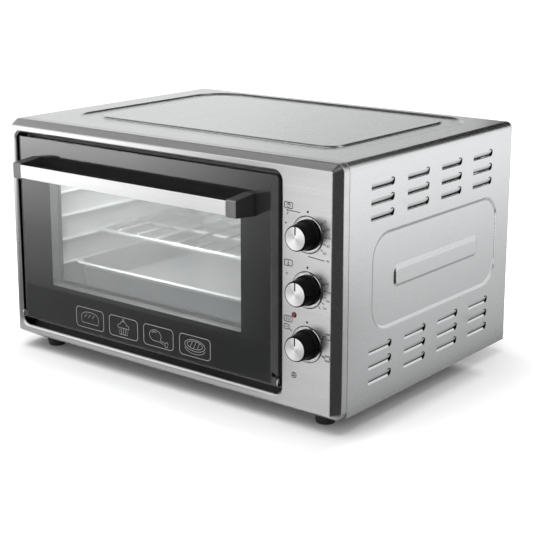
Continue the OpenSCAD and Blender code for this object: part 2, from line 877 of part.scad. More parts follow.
module fan_housing() {
    r = fan_r + housing_room;
    d = housing_d;
    color(grey_sheet) stand() translate([fan_x, housing_y1, fan_z]) rotate([90, 0, 0]) rotate_extrude()
        polygon([
            [housing_hole_r, 0], [r, 0], [r, d - liner], [r + housing_flange, d - liner],
            [r + housing_flange, d], [r - liner, d], [r - liner, liner], [housing_hole_r, liner]
        ]);
}

module fan_motor() {
    core_y = housing_y1 + motor_coil_d;
    color([0.35, 0.33, 0.32]) stand() translate([fan_x, 0, fan_z]) difference() {
        union() {
            plate_y(housing_y1, motor_ear_t) slot(motor_ear[0], motor_ear[1]);
            plate_y(housing_y1, motor_coil_d) rrect(motor_coil_w, motor_coil_w, 4);
            plate_y(core_y, motor_core_d) translate([0, -motor_core_drop])
                rrect(motor_core[0], motor_core[1], 4);
            rod_y(motor_bearing_r, housing_y1, housing_y1 + motor_d);
        }
        rod_y(fan_shaft_r + running_fit, housing_y1 - over, housing_y1 + motor_d - motor_end);
    }
}

module fan_impeller() {
    blade_l = impeller_r / 2;
    sweep = 20;
    color([0.75, 0.75, 0.76]) stand() translate([fan_x, 0, fan_z]) {
        rod_y(impeller_r, impeller_y1 - fan_sheet, impeller_y1);
        rod_y(fan_hub_r, impeller_y0, impeller_y1);
        rod_y(fan_shaft_r, impeller_y0 + over, housing_y1 + motor_d - 2 * motor_end);
        for (i = [0:fan_blades - 1])
            rotate([0, i * 360 / fan_blades, 0]) translate([impeller_r - blade_l, impeller_y0, 0])
                rotate([0, sweep, 0]) translate([-over, 0, 0])
                    cube([blade_l, impeller_y1 - impeller_y0, fan_sheet]);
    }
}

// Controls behind the panel

module spindle_bore(z) {
    translate([knob_x, 0, z]) rod_y(spindle_r + running_fit, sheet - over, sheet + spindle_in + over);
}

// Push-on terminal blades behind a control whose back is at y
module blades(y, offsets) {
    for (p = offsets)
        plate_y(y - over, blade_out + over) translate(p) square([blade_w, blade_t], center = true);
}

// Plate that screws a control to the back of the panel
module control_plate(w, z) {
    plate_y(sheet, control_plate_t) translate([knob_x, z]) rrect(w + 2 * control_ear, control_plate_h, 3);
}

module timer_body() {
    z = knob_z[0];
    back = sheet + timer_d;
    foot = timer_w / 2 - 2;
    color([0.72, 0.70, 0.62]) stand() difference() {
        union() {
            control_plate(timer_w, z);
            plate_y(sheet, timer_d) translate([knob_x, z]) rrect(timer_w, timer_w, 5);
            translate([knob_x, 0, z]) rod_y(timer_bell_r, back, back + timer_bell_d);
            translate([knob_x, 0, z]) blades(back, [[timer_w / 3, -foot], [-timer_w / 3, -foot]]);
        }
        spindle_bore(z);
    }
}

module thermostat_body() {
    z = knob_z[1];
    back = sheet + thermostat_d;
    blade_x = thermostat_w / 3;
    blade_z = thermostat_h / 3;
    color([0.80, 0.79, 0.74]) stand() difference() {
        union() {
            control_plate(thermostat_w, z);
            plate_y(sheet, thermostat_d) translate([knob_x, z]) rrect(thermostat_w, thermostat_h, 3);
            translate([knob_x, 0, z]) rod_y(thermostat_boss_r, back, thermostat_back);
            translate([knob_x, 0, z]) blades(back, [[blade_x, -blade_z], [blade_x, blade_z]]);
        }
        spindle_bore(z);
    }
}

module selector_body() {
    z = knob_z[2];
    step = selector_r / 2;
    color([0.85, 0.84, 0.80]) stand() difference() {
        union() {
            control_plate(2 * selector_r, z);
            translate([knob_x, 0, z]) rod_y(selector_r, sheet, sheet + selector_d);
            translate([knob_x, 0, z])
                blades(sheet + selector_d, [for (x = [-step, 0, step], w = [-step, step]) [x, w]]);
        }
        spindle_bore(z);
    }
}

// Capillary sensor: a bulb along the cavity's right wall and its thin tube to the thermostat
module thermostat_sensor() {
    b = capillary_bend;
    low = knob_z[1];
    color([0.72, 0.45, 0.30]) stand() {
        translate([sensor_x, 0, sensor_z]) rod_y(sensor_r, sensor_y, sensor_y + sensor_l);
        translate([sensor_x, 0, sensor_z]) rod_y(capillary_r, capillary_y + b, sensor_y + over);
        translate([sensor_x + b, capillary_y + b, sensor_z]) rotate(180) capillary_elbow();
        translate([0, capillary_y, sensor_z]) rod_x(capillary_r, sensor_x + b, knob_x - b);
        translate([knob_x - b, capillary_y, sensor_z - b]) rotate([90, 0, 0]) capillary_elbow();
        translate([knob_x, capillary_y, 0]) rod_z(capillary_r, low + b, sensor_z - b);
        translate([knob_x, capillary_y - b, low + b]) rotate([90, 0, 90]) rotate(-90) capillary_elbow();
        translate([knob_x, 0, low]) rod_y(capillary_r, thermostat_back, capillary_y - b);
    }
}

// Quarter bend of the sensor's tube, from +X to +Y
module capillary_elbow() {
    rotate_extrude(angle = 90) translate([capillary_bend, 0]) circle(capillary_r);
}

// Lamp with a domed lens, a collar behind the panel and a short body
module indicator_lamp() {
    dome = 2;
    collar = sheet + 4;
    tail = sheet + 16;
    color([0.70, 0.05, 0.05]) stand() translate([lamp_x, 0, lamp_z]) rotate([90, 0, 0]) rotate_extrude()
        polygon(concat(
            [for (a = [0:15:90]) [lamp_r * sin(a), dome * cos(a)]],
            [[lamp_r, -sheet], [lamp_r + 1, -sheet], [lamp_r + 1, -collar], [lamp_r, -collar]],
            [[lamp_r, -tail], [0, -tail]]
        ));
}

module knob_bezels() {
    lip = 1.2;
    edge = 0.5;
    hole = spindle_r + 1;
    color(bright_sheet) stand()
        for (z = knob_z)
            translate([knob_x, 0, z]) rotate([90, 0, 0]) rotate_extrude() polygon([
                [hole, 0], [bezel_r, 0], [bezel_r, bezel_t - edge], [bezel_r - edge, bezel_t],
                [bezel_r - lip, bezel_t], [bezel_r - lip - edge, bezel_t - edge], [hole, bezel_t - edge]
            ]);
}

// Knob on its spindle, with its pointer upwards
module knob(z) {
    skirt_h = 4;
    grip_z = 6;
    edge = 1.5;
    flute_r = 0.7;
    lean = atan((knob_r - face_r) / (knob_reach - grip_z));
    color(black_part) stand() translate([knob_x, 0, z]) rotate([90, 0, 0]) difference() {
        union() {
            rotate_extrude() polygon([
                [0, -knob_back], [skirt_r, -knob_back], [skirt_r, skirt_h], [knob_r, grip_z],
                [face_r, knob_reach - edge], [face_r - edge / 2, knob_reach], [disc_r + snug, knob_reach],
                [disc_r + snug, knob_reach - disc_t], [0, knob_reach - disc_t]
            ]);
            translate([-pointer_w / 2, disc_r - pointer_l, knob_reach - disc_t - snug])
                cube([pointer_w, pointer_l - snug, disc_t + snug]);
        }
        for (i = [0:flutes - 1])
            rotate(i * 360 / flutes) translate([knob_r, 0, grip_z]) rotate([0, -lean, 0])
                cylinder(r = flute_r, h = knob_reach - grip_z - edge);
        translate([0, 0, -over]) cylinder(r = spindle_r + running_fit, h = spindle_out + 2 * over);
    }
}

// Metal disc let into a knob's face, notched for the pointer
module disc(z) {
    edge = 0.3;
    color([0.85, 0.85, 0.86]) stand() translate([knob_x, 0, z]) rotate([90, 0, 0]) difference() {
        translate([0, 0, knob_reach - disc_t]) rotate_extrude()
            polygon([[0, 0], [disc_r, 0], [disc_r, disc_t - edge], [disc_r - edge, disc_t], [0, disc_t]]);
        translate([-pointer_w / 2 - snug, disc_r - pointer_l - snug, 0])
            cube([pointer_w + 2 * snug, disc_r, knob_reach + over]);
    }
}

module spindle(z) {
    color([0.78, 0.74, 0.60]) stand() translate([knob_x, 0, z])
        rod_y(spindle_r, -spindle_out, sheet + spindle_in);
}

module timer_spindle() { spindle(knob_z[0]); }
module thermostat_spindle() { spindle(knob_z[1]); }
module selector_spindle() { spindle(knob_z[2]); }
module timer_knob() { knob(knob_z[0]); }
module thermostat_knob() { knob(knob_z[1]); }
module selector_knob() { knob(knob_z[2]); }
module timer_disc() { disc(knob_z[0]); }
module thermostat_disc() { disc(knob_z[1]); }
module selector_disc() { disc(knob_z[2]); }

// Door

module door_glass() {
    color(dark_glass) stand() difference() {
        plate_y(0, glass_t) translate([door_x, door_z]) rrect(glass_x1 - glass_x0, door_h, 1.5);
        for (x = handle_screw_x, z = handle_screw_z)
            translate([x, 0, z]) rod_y(screw_r + 0.6, -over, glass_t + over);
    }
}

// Pressed pan behind the glass: outer walls, a back, a tube round the window and two hinge lugs
module door_pan() {
    lug_w = trim_w - snug;
    color(black_part) stand() difference() {
        union() {
            difference() {
                plate_y(glass_t, door_t - glass_t) translate([door_x, door_z]) rrect(pan_w, pan_h, door_r);
                plate_y(glass_t - over, door_t - glass_t - sheet + over) difference() {
                    translate([door_x, door_z]) rrect(pan_w - 2 * sheet, pan_h - 2 * sheet, door_r - sheet);
                    translate([window_x, window_z])
                        rrect(window_w + 2 * sheet, window_h + 2 * sheet, window_r + sheet);
                }
            }
            for (x = [door_x0, door_x1 - lug_w])
                translate([x, 1, door_z0]) cube([lug_w, door_t - 1, trim_z0 - seat - door_z0]);
        }
        plate_y(glass_t - over, door_t - glass_t - sheet + over) translate([window_x, window_z])
            rrect(window_w, window_h, window_r);
        plate_y(glass_t, door_t) translate([window_x, window_z])
            rrect(window_w - 2 * window_lip, window_h - 2 * window_lip, window_r);
        for (x = [door_x0 - over, door_x1 - trim_w])
            translate([x, hinge_y, hinge_z]) rod_x(pin_r + running_fit, 0, trim_w + over);
        for (x = stay_x)
            stay_slot(x, door_t - sheet, sheet, snug);
    }
}

module inner_glass() {
    color([0.75, 0.80, 0.80, 0.4]) stand()
        plate_y(door_t - sheet - glass_t, glass_t) translate([window_x, window_z])
            rrect(window_w - 2 * seat, window_h - 2 * seat, window_r);
}

// Sloped strip along the glass's left edge, with the door's left edge at x = 0
module door_trim() {
    depth = door_t - 8;
    foot_rise = 8;
    section = [
        [trim_w, 0], [trim_w, glass_t - snug], [frame_edge - snug, glass_t - snug],
        [frame_edge - snug, depth], [0, depth], [0, trim_slope]
    ];
    intersection() {
        plate_z(trim_z0, door_z1 - trim_z0) polygon(section);
        plate_y(-over, door_t)
            polygon([[0, trim_z0], [trim_w, trim_z0 + foot_rise], [trim_w, door_z1], [0, door_z1]]);
        plate_y(-over, door_t) translate([door_w / 2, door_z]) rrect(door_w, door_h, door_r);
    }
}

module left_door_trim() {
    color([0.20, 0.20, 0.21]) stand() translate([door_x0, 0, 0]) door_trim();
}

module right_door_trim() {
    color([0.20, 0.20, 0.21]) stand() translate([door_x1, 0, 0]) mirror([1, 0, 0]) door_trim();
}

module handle_bar() {
    color(black_part) stand() plate_x(handle_x0 + handle_end_w, handle_len - 2 * handle_end_w)
        translate([strip_t + grip_d / 2 - handle_reach, handle_z]) rrect(grip_d, grip_h, 3);
}

module handle_strip() {
    color([0.86, 0.87, 0.88]) stand() plate_x(handle_x0 + handle_end_w, handle_len - 2 * handle_end_w)
        translate([strip_t / 2 - handle_reach, handle_z]) rrect(strip_t, grip_h, strip_t * 0.4);
}

module handle_end(x0) {
    nose = 3;
    front = handle_end_h / 2;
    root = handle_root_h / 2;
    color(black_part) stand() difference() {
        plate_x(x0, handle_end_w) translate([0, handle_z]) union() {
            polygon([
                [0, -root], [0, root], [nose - handle_reach, front], [-handle_reach, front - nose],
                [-handle_reach, nose - front], [nose - handle_reach, -front]
            ]);
            for (side = [-1, 1])
                translate([nose - handle_reach, side * (front - nose)]) circle(nose);
        }
        for (z = handle_screw_z)
            translate([x0 + handle_end_w / 2, 0, z]) rod_y(screw_r + snug, -handle_screw_in - over, over);
    }
}

module left_handle_end() { handle_end(handle_x0); }
module right_handle_end() { handle_end(handle_x1 - handle_end_w); }

// Pan-head screw along +Z with the underside of its head at z = 0
module screw(l) {
    rotate_extrude() polygon([
        [0, -l], [screw_r - 0.4, -l], [screw_r, 0.4 - l], [screw_r, 0], [screw_head_r, 0],
        [screw_head_r, screw_head_h * 0.4], [screw_head_r * 0.7, screw_head_h], [0, screw_head_h]
    ]);
}

module handle_screws() {
    color([0.7, 0.7, 0.72]) stand()
        for (x = handle_screw_x, z = handle_screw_z)
            translate([x, glass_t, z]) rotate([-90, 0, 0]) screw(glass_t + handle_screw_in);
}

module case_screws() {
    color([0.7, 0.7, 0.72]) stand() {
        for (p = back_screws)
            translate([p[0], body_d, p[1]]) rotate([-90, 0, 0]) screw(back_screw_l);
        for (p = foot_at)
            translate([p[0], p[1], base_top]) screw(foot_screw_l);
    }
}

// Door hinges

module hinge_bracket(x0) {
    eye = 6;
    color([0.80, 0.80, 0.78]) stand() difference() {
        plate_x(x0, bracket_t) {
            translate([hinge_y, hinge_z]) circle(eye);
            translate([hinge_y, hinge_z - eye]) square([recess_d - hinge_y, 2 * eye]);
        }
        translate([0, hinge_y, hinge_z]) rod_x(pin_r + running_fit, x0 - over, x0 + bracket_t + over);
    }
}

module left_hinge_bracket() { hinge_bracket(door_x0 - bracket_gap - bracket_t); }
module right_hinge_bracket() { hinge_bracket(door_x1 + bracket_gap); }

module hinge_pin(x0, x1) {
    color([0.82, 0.82, 0.80]) stand() translate([0, hinge_y, hinge_z]) rod_x(pin_r, x0, x1);
}

module left_hinge_pin() { hinge_pin(door_x0 - pin_tip, door_x0 + pin_in); }
module right_hinge_pin() { hinge_pin(door_x1 - pin_in, door_x1 + pin_tip); }

// Curved arm round the hinge axis, which slides through the cavity's mouth as the door drops
module door_stay(x0) {
    plate_x0 = x0 + bracket_t / 2 - stay_plate[0] / 2;
    plate_y0 = door_t - sheet - stay_plate[1];
    plate_h = stay_slot_high - stay_slot_low + stay_plate_up;
    color([0.80, 0.80, 0.78]) stand() {
        translate([x0, hinge_y, hinge_z]) rotate([90, 0, 90]) rotate(stay_tail)
            rotate_extrude(angle = stay_root - stay_tail)
                translate([stay_r - stay_w / 2, 0]) square([stay_w, bracket_t]);
        translate([plate_x0, plate_y0, hinge_z + stay_slot_low])
            cube([stay_plate[0], stay_plate[1], plate_h]);
    }
}

module left_door_stay() { door_stay(stay_x[0]); }
module right_door_stay() { door_stay(stay_x[1]); }

// Rack and tray

// Closed loop of round wire on a round-cornered outline
module wire_loop(w, l, corner, r) {
    for (x = [-1, 1], y = [-1, 1])
        translate([x * (w / 2 - corner), y * (l / 2 - corner), 0]) mirror([x < 0 ? 1 : 0, 0, 0])
            mirror([0, y < 0 ? 1 : 0, 0]) rotate_extrude(angle = 90) translate([corner, 0]) circle(r);
    for (x = [-w / 2, w / 2])
        translate([x, 0, 0]) rod_y(r, corner - l / 2, l / 2 - corner);
    for (y = [-l / 2, l / 2])
        translate([0, y, 0]) rod_x(r, corner - w / 2, w / 2 - corner);
}

module wire_rack() {
    w = 2 * (shelf_half - rack_r);
    l = rack_y1 - rack_y0 - 2 * rack_r;
    weld = 0.5;
    bars = floor((w / 2 - rack_step / 2) / rack_step);
    bar_z = rack_r + bar_wire_r - weld;
    color([0.85, 0.86, 0.87]) stand() translate([cavity_x, (rack_y0 + rack_y1) / 2, rack_z]) {
        wire_loop(w, l, rack_corner, rack_r);
        for (i = [-bars:bars])
            translate([i * rack_step, 0, bar_z]) rod_y(bar_wire_r, -l / 2 - 1, l / 2 + 1);
        for (y = [-l / 6, l / 6])
            translate([0, y, 0]) rod_x(rack_r - weld, -w / 2, w / 2);
    }
}

module baking_tray() {
    rim_x = 2 * shelf_half;
    rim_y = tray_y1 - tray_y0;
    color([0.62, 0.63, 0.64]) stand() translate([cavity_x, (tray_y0 + tray_y1) / 2, tray_z]) {
        difference() {
            union() {
                linear_extrude(tray_t) rrect(rim_x, rim_y, tray_r + tray_rim);
                rotate([180, 0, 0]) sloped_block(tray_w, tray_l, tray_r, tray_taper, tray_h);
            }
            translate([0, 0, tray_t]) rotate([180, 0, 0])
                sloped_cut(tray_w - tray_t, tray_l - tray_t, tray_r - tray_t / 2, tray_taper, tray_h);
        }
    }
}

// Feet and cord inlet

module foot(p) {
    h = foot_h + foot_top;
    pad = 6;
    color(black_part) stand() translate([p[0], p[1], -foot_h]) rotate_extrude() polygon([
        [0, 0], [foot_tip_r - 1, 0], [foot_tip_r, 1], [foot_r, h - pad], [foot_r, h],
        [screw_r + snug, h], [screw_r + snug, h - foot_screw_l - 1], [0, h - foot_screw_l - 1]
    ]);
}

module front_left_foot() { foot(foot_at[0]); }
module front_right_foot() { foot(foot_at[1]); }
module rear_left_foot() { foot(foot_at[2]); }
module rear_right_foot() { foot(foot_at[3]); }

// Bush for the supply cord, snapped into the back panel
module cable_gland() {
    bore = 4;
    edge = 0.5;
    head_r = gland_r + 3.5;
    catch_r = gland_r + 2;
    tail = sheet + 5;
    color(black_part) stand() translate([gland_x, body_d, gland_z]) rotate([-90, 0, 0]) rotate_extrude()
        polygon([
            [bore, rear_proud], [head_r - edge, rear_proud], [head_r, rear_proud - edge], [head_r, 0],
            [gland_r, 0], [gland_r, -sheet], [catch_r, -sheet], [catch_r - 1, -tail], [bore, -tail]
        ]);
}

front_frame();
top_panel();
left_side_panel();
right_side_panel();
back_panel();
base_panel();
cavity_mouth();
cavity_wrap();
cavity_floor();
cavity_back();
heat_shield();
left_shelf_runner();
right_shelf_runner();
upper_heaters();
lower_heaters();
heater_bushes();
fan_cover();
fan_housing();
fan_motor();
fan_impeller();
timer_body();
thermostat_body();
selector_body();
thermostat_sensor();
indicator_lamp();
knob_bezels();
timer_spindle();
timer_knob();
timer_disc();
thermostat_spindle();
thermostat_knob();
thermostat_disc();
selector_spindle();
selector_knob();
selector_disc();
left_hinge_bracket();
right_hinge_bracket();
door_glass();
door_pan();
inner_glass();
left_door_trim();
right_door_trim();
handle_bar();
handle_strip();
left_handle_end();
right_handle_end();
handle_screws();
left_hinge_pin();
right_hinge_pin();
left_door_stay();
right_door_stay();
wire_rack();
baking_tray();
front_left_foot();
front_right_foot();
rear_left_foot();
rear_right_foot();
cable_gland();
case_screws();
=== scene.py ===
import json
import math

import bmesh
import bpy
from mathutils import Matrix, Vector


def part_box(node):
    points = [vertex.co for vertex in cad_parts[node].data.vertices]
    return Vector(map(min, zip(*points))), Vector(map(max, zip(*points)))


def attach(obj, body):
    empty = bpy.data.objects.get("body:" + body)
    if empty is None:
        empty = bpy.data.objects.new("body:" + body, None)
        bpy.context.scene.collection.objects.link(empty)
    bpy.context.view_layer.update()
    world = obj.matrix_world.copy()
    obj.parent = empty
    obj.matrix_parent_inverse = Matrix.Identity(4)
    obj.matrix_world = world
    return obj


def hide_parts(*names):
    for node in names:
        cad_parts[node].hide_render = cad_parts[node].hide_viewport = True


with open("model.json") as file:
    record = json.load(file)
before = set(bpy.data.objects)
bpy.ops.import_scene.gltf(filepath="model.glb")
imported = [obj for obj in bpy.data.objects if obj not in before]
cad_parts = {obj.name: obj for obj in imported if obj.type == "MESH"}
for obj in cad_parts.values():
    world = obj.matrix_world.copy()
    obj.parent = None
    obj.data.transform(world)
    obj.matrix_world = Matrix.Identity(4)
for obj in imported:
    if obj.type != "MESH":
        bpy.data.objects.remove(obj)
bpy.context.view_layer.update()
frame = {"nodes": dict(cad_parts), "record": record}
nodes = frame["nodes"]
record = frame["record"]
body_of = {node: body for body, members in record["behaviour"]["bodies"].items() for node in members}
slot_of = {part["node"]: part["material_slot"] for part in record["subparts"]}

# Places are given in millimetres from the front face and the casing's lower edge, as in the part's source
MM = 0.001
front_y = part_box("front_frame")[0].y
case_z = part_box("front_frame")[0].z


def at(x, y, z):
    return Vector((x * MM, front_y + y * MM, case_z + z * MM))


def span(node):
    """Lowest and highest corner of a node, in millimetres from the front face and the casing's lower edge."""
    low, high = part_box(node)
    origin = at(0, 0, 0)
    return (low - origin) / MM, (high - origin) / MM


# Nodes and shared effects


def put(tree, kind, inputs=None, **settings):
    made = tree.nodes.new(kind)
    for label, value in settings.items():
        setattr(made, label, value)
    for label, value in (inputs or {}).items():
        socket = made.inputs[label]
        if isinstance(value, bpy.types.NodeSocket):
            tree.links.new(value, socket)
        else:
            socket.default_value = value
    return made


def sums(tree, operation, a, b=0.5, c=0.5):
    return put(tree, "ShaderNodeMath", {0: a, 1: b, 2: c}, operation=operation).outputs[0]


def vec(tree, operation, a, b=(0, 0, 0)):
    return put(tree, "ShaderNodeVectorMath", {0: a, 1: b}, operation=operation).outputs[0]


def xyz(tree, **parts):
    return put(tree, "ShaderNodeCombineXYZ", parts).outputs[0]


def axes(tree, vector):
    return put(tree, "ShaderNodeSeparateXYZ", {0: vector}).outputs


def own_place(tree):
    return put(tree, "ShaderNodeTexCoord").outputs["Object"]


def past_box(tree, place, centre, half):
    """How far a place lies past a box along each axis, below zero inside it."""
    return vec(tree, "SUBTRACT", vec(tree, "ABSOLUTE", vec(tree, "SUBTRACT", place, centre)), half)


def remap(tree, value, low, high, to_low, to_high):
    ends = {"From Min": low, "From Max": high, "To Min": to_low, "To Max": to_high}
    return put(tree, "ShaderNodeMapRange", {"Value": value, **ends}).outputs["Result"]


def mixed(tree, factor, first, second):
    return put(tree, "ShaderNodeMix", {0: factor, 6: first, 7: second}, data_type="RGBA").outputs[2]


def noise(tree, vector, scale, detail=3.0, roughness=0.55):
    values = {"Vector": vector, "Scale": scale, "Detail": detail, "Roughness": roughness}
    return put(tree, "ShaderNodeTexNoise", values).outputs["Fac"]


def effect(name, inputs, outputs):
    tree = bpy.data.node_groups.new(name, "ShaderNodeTree")
    for label, kind, value in inputs:
        socket = tree.interface.new_socket(label, in_out="INPUT", socket_type="NodeSocket" + kind)
        socket.default_value = value
    for label in outputs:
        tree.interface.new_socket(label, in_out="OUTPUT", socket_type="NodeSocketFloat")
    return tree, tree.nodes.new("NodeGroupInput").outputs, tree.nodes.new("NodeGroupOutput").inputs, own_place(tree)


def make_brushing():
    """Fine lines left by brushing, longest along the axis with the smallest stretch."""
    tree, given, out, place = effect("brushing", [("Stretch", "Vector", (9, 700, 700))], ["Tone", "Height"])
    drawn = vec(tree, "MULTIPLY", place, given["Stretch"])
    fine = noise(tree, drawn, 1.0, 4.0, 0.6)
    broad = noise(tree, drawn, 0.12, 2.0)
    both = sums(tree, "MULTIPLY_ADD", fine, 0.6, sums(tree, "MULTIPLY", broad, 0.4))
    tree.links.new(remap(tree, both, 0.36, 0.64, 0.0, 1.0), out["Tone"])
    tree.links.new(fine, out["Height"])
    return tree


def make_grain():
    """Moulded or cast surface: small pits with a slow change of tone."""
    tree, given, out, place = effect("grain", [("Size", "Float", 1400.0)], ["Tone", "Height"])
    pits = put(tree, "ShaderNodeTexVoronoi", {"Vector": place, "Scale": given["Size"]}).outputs["Distance"]
    fine = noise(tree, place, given["Size"], 2.0)
    tree.links.new(remap(tree, noise(tree, place, 38.0, 5.0), 0.3, 0.7, 0.0, 1.0), out["Tone"])
    tree.links.new(sums(tree, "MULTIPLY_ADD", fine, 0.5, pits), out["Height"])
    return tree


def make_coated_sheet():
    """Zinc or aluminium coating on rolled sheet: faint flat crystals under a rolled grain."""
    tree, given, out, place = effect(
        "coated_sheet", [("Size", "Float", 60.0), ("Stretch", "Vector", (300, 8, 300))], ["Tone", "Height"]
    )
    cells = put(tree, "ShaderNodeTexVoronoi", {"Vector": place, "Scale": given["Size"]}).outputs["Color"]
    crystal = put(tree, "ShaderNodeSeparateColor", {"Color": cells}).outputs["Red"]
    drawn = vec(tree, "MULTIPLY", place, given["Stretch"])
    rolled = noise(tree, drawn, 1.0, 3.0)
    tree.links.new(sums(tree, "MULTIPLY_ADD", crystal, 0.35, sums(tree, "MULTIPLY", rolled, 0.65)), out["Tone"])
    tree.links.new(rolled, out["Height"])
    return tree


def make_rings_and_painted_sheen():
    """Rings that a lathe leaves round an axis along Y, with painted sheen: paired light fans painted into the tone by
    the angle round that axis.
    """
    tree, given, out, place = effect(
        "rings_and_painted_sheen", [("Centre", "Vector", (0, 0, 0)), ("Rings", "Float", 2600.0)], ["Tone", "Height"]
    )
    flat = vec(tree, "MULTIPLY", vec(tree, "SUBTRACT", place, given["Centre"]), (1, 0, 1))
    radius = put(tree, "ShaderNodeVectorMath", {0: flat}, operation="LENGTH").outputs["Value"]
    ring = noise(tree, xyz(tree, X=sums(tree, "MULTIPLY", radius, given["Rings"])), 1.0, 2.0)
    # Painted sheen: light and dark fans by the angle round the axis
    turn = sums(tree, "ARCTAN2", axes(tree, flat)["Z"], axes(tree, flat)["X"])
    painted_sheen_fans = sums(tree, "COSINE", sums(tree, "MULTIPLY_ADD", turn, 2.0, -2.1))
    both = sums(tree, "MULTIPLY_ADD", painted_sheen_fans, 0.34, remap(tree, ring, 0.3, 0.7, 0.36, 0.64))
    tree.links.new(both, out["Tone"])
    tree.links.new(ring, out["Height"])
    return tree


def make_handling():
    """Slow cloudy change left by wiping and touching: a soil mask and a change of gloss."""
    tree, given, out, place = effect("handling", [("Size", "Float", 9.0), ("Amount", "Float", 0.2)], ["Soil", "Gloss"])
    cloud = remap(tree, noise(tree, place, given["Size"], 5.0), 0.42, 0.72, 0.0, 1.0)
    wiped = noise(tree, place, sums(tree, "MULTIPLY", given["Size"], 7.0), 3.0)
    tree.links.new(sums(tree, "MULTIPLY", cloud, given["Amount"]), out["Soil"])
    tree.links.new(sums(tree, "MULTIPLY", sums(tree, "SUBTRACT", wiped, 0.5), given["Amount"]), out["Gloss"])
    return tree


brushing = make_brushing()
grain = make_grain()
coated_sheet = make_coated_sheet()
rings_and_painted_sheen = make_rings_and_painted_sheen()
handling = make_handling()


def grey(value, warm=0.0):
    return (value * (1 + warm), value, value * (1 - warm), 1.0)


def darker(colour, share):
    return (*(c * share for c in colour[:3]), 1.0)


def new_material(name, **sockets):
    """Material with its tree and its shader, whose sockets take the values given by their labels."""
    material = bpy.data.materials.new(name)
    material.use_nodes = True
    shader = material.node_tree.nodes["Principled BSDF"]
    for label, value in sockets.items():
        shader.inputs[label.replace("_", " ")].default_value = value
    return material, material.node_tree, shader


def repaint(material, mask, colour):
    """Another base colour where a mask in the material's tree is one."""
    tree = material.node_tree
    base = tree.nodes["Principled BSDF"].inputs["Base Color"]
    tree.links.new(mixed(tree, mask, base.links[0].from_socket, colour), base)


def finish(name, pattern, values, dark, light, rough, relief=0.0, marks=(9.0, 0.15), **sockets):
    """Principled finish: the pattern changes colour, roughness and relief, and handling marks lie over it."""
    material, tree, shader = new_material(name, **sockets)
    made = put(tree, "ShaderNodeGroup", values, node_tree=pattern).outputs
    worn = put(tree, "ShaderNodeGroup", {"Size": marks[0], "Amount": marks[1]}, node_tree=handling).outputs
    colour = mixed(tree, made["Tone"], dark, light)
    soiled = mixed(tree, worn["Soil"], colour, darker(dark, 0.7))
    tree.links.new(soiled, shader.inputs["Base Color"])
    gloss = remap(tree, made["Tone"], 0.0, 1.0, rough[1], rough[0])
    tree.links.new(sums(tree, "ADD", gloss, worn["Gloss"]), shader.inputs["Roughness"])
    if relief:
        bump = put(tree, "ShaderNodeBump", {"Strength": 0.5, "Distance": relief * MM, "Height": made["Height"]})
        tree.links.new(bump.outputs["Normal"], shader.inputs["Normal"])
    return material


def clear_glass(name, colour, rough, pass_colour, coat=0.0):
    """Glass that bends what is seen through it and lets lamp light straight through."""
    material, tree, shader = new_material(
        name, Metallic=0.0, Transmission_Weight=1.0, IOR=1.5, Coat_Weight=coat, Coat_IOR=1.9, Coat_Roughness=0.01
    )
    worn = put(tree, "ShaderNodeGroup", {"Size": 14.0, "Amount": 0.5}, node_tree=handling).outputs
    tree.links.new(mixed(tree, worn["Soil"], colour, darker(colour, 0.93)), shader.inputs["Base Color"])
    tree.links.new(remap(tree, worn["Soil"], 0.0, 0.5, rough[0], rough[1]), shader.inputs["Roughness"])
    path = put(tree, "ShaderNodeLightPath").outputs
    straight = sums(tree, "MAXIMUM", path["Is Shadow Ray"], path["Is Diffuse Ray"])
    through = put(tree, "ShaderNodeBsdfTransparent", {"Color": pass_colour}).outputs[0]
    both = put(tree, "ShaderNodeMixShader", {0: straight, 1: shader.outputs[0], 2: through})
    tree.links.new(both.outputs[0], tree.nodes["Material Output"].inputs["Surface"])
    return material


ALONG_X = {"Stretch": (9, 700, 700)}
ALONG_Y = {"Stretch": (700, 9, 700)}
LEVEL = {"Stretch": (5, 5, 320)}

front_steel = finish(
    "brushed_front_steel", brushing, ALONG_X, grey(0.62), grey(0.66), (0.27, 0.31), 0.001, (5.0, 0.02), Metallic=1.0
)
casing_steel = finish(
    "satin_casing_steel", brushing, ALONG_Y, grey(0.668, -0.01), grey(0.677, -0.01), (0.265, 0.275), 0.0001,
    (4.0, 0.02), Metallic=1.0
)
plain_zinc = finish(
    "zinc_coated_sheet", coated_sheet, {"Size": 85.0}, grey(0.46), grey(0.60), (0.34, 0.46), 0.004, (7.0, 0.1),
    Metallic=1.0
)
cavity_sheet = finish(
    "aluminised_cavity_sheet", brushing, LEVEL, grey(0.62), grey(0.67), (0.42, 0.48), 0.001, (6.0, 0.03), Metallic=0.5
)
runner_steel = finish(
    "pressed_runner_steel", brushing, LEVEL, grey(0.54), grey(0.59), (0.42, 0.48), 0.001, (6.0, 0.03), Metallic=0.5
)
heater_sheath = finish(
    "heater_sheath", grain, {"Size": 900.0}, (0.16, 0.14, 0.12, 1), (0.30, 0.27, 0.25, 1), (0.36, 0.5), 0.02,
    (30.0, 0.4), Metallic=0.85
)
ceramic = finish("glazed_ceramic", grain, {"Size": 700.0}, grey(0.70, 0.06), grey(0.80, 0.05), (0.3, 0.45), 0.01)
fan_steel = finish(
    "pressed_fan_steel", coated_sheet, {"Size": 50.0, "Stretch": (90, 90, 90)}, grey(0.56), grey(0.64), (0.36, 0.44),
    0.001, (8.0, 0.04), Metallic=0.7
)
motor_steel = finish(
    "motor_laminations", brushing, {"Stretch": (30, 1500, 30)}, grey(0.10), grey(0.24), (0.4, 0.55), 0.03,
    (20.0, 0.3), Metallic=0.8
)
control_case = finish(
    "moulded_control_case", grain, {"Size": 1100.0}, grey(0.56, 0.05), grey(0.64, 0.05), (0.45, 0.6), 0.02
)
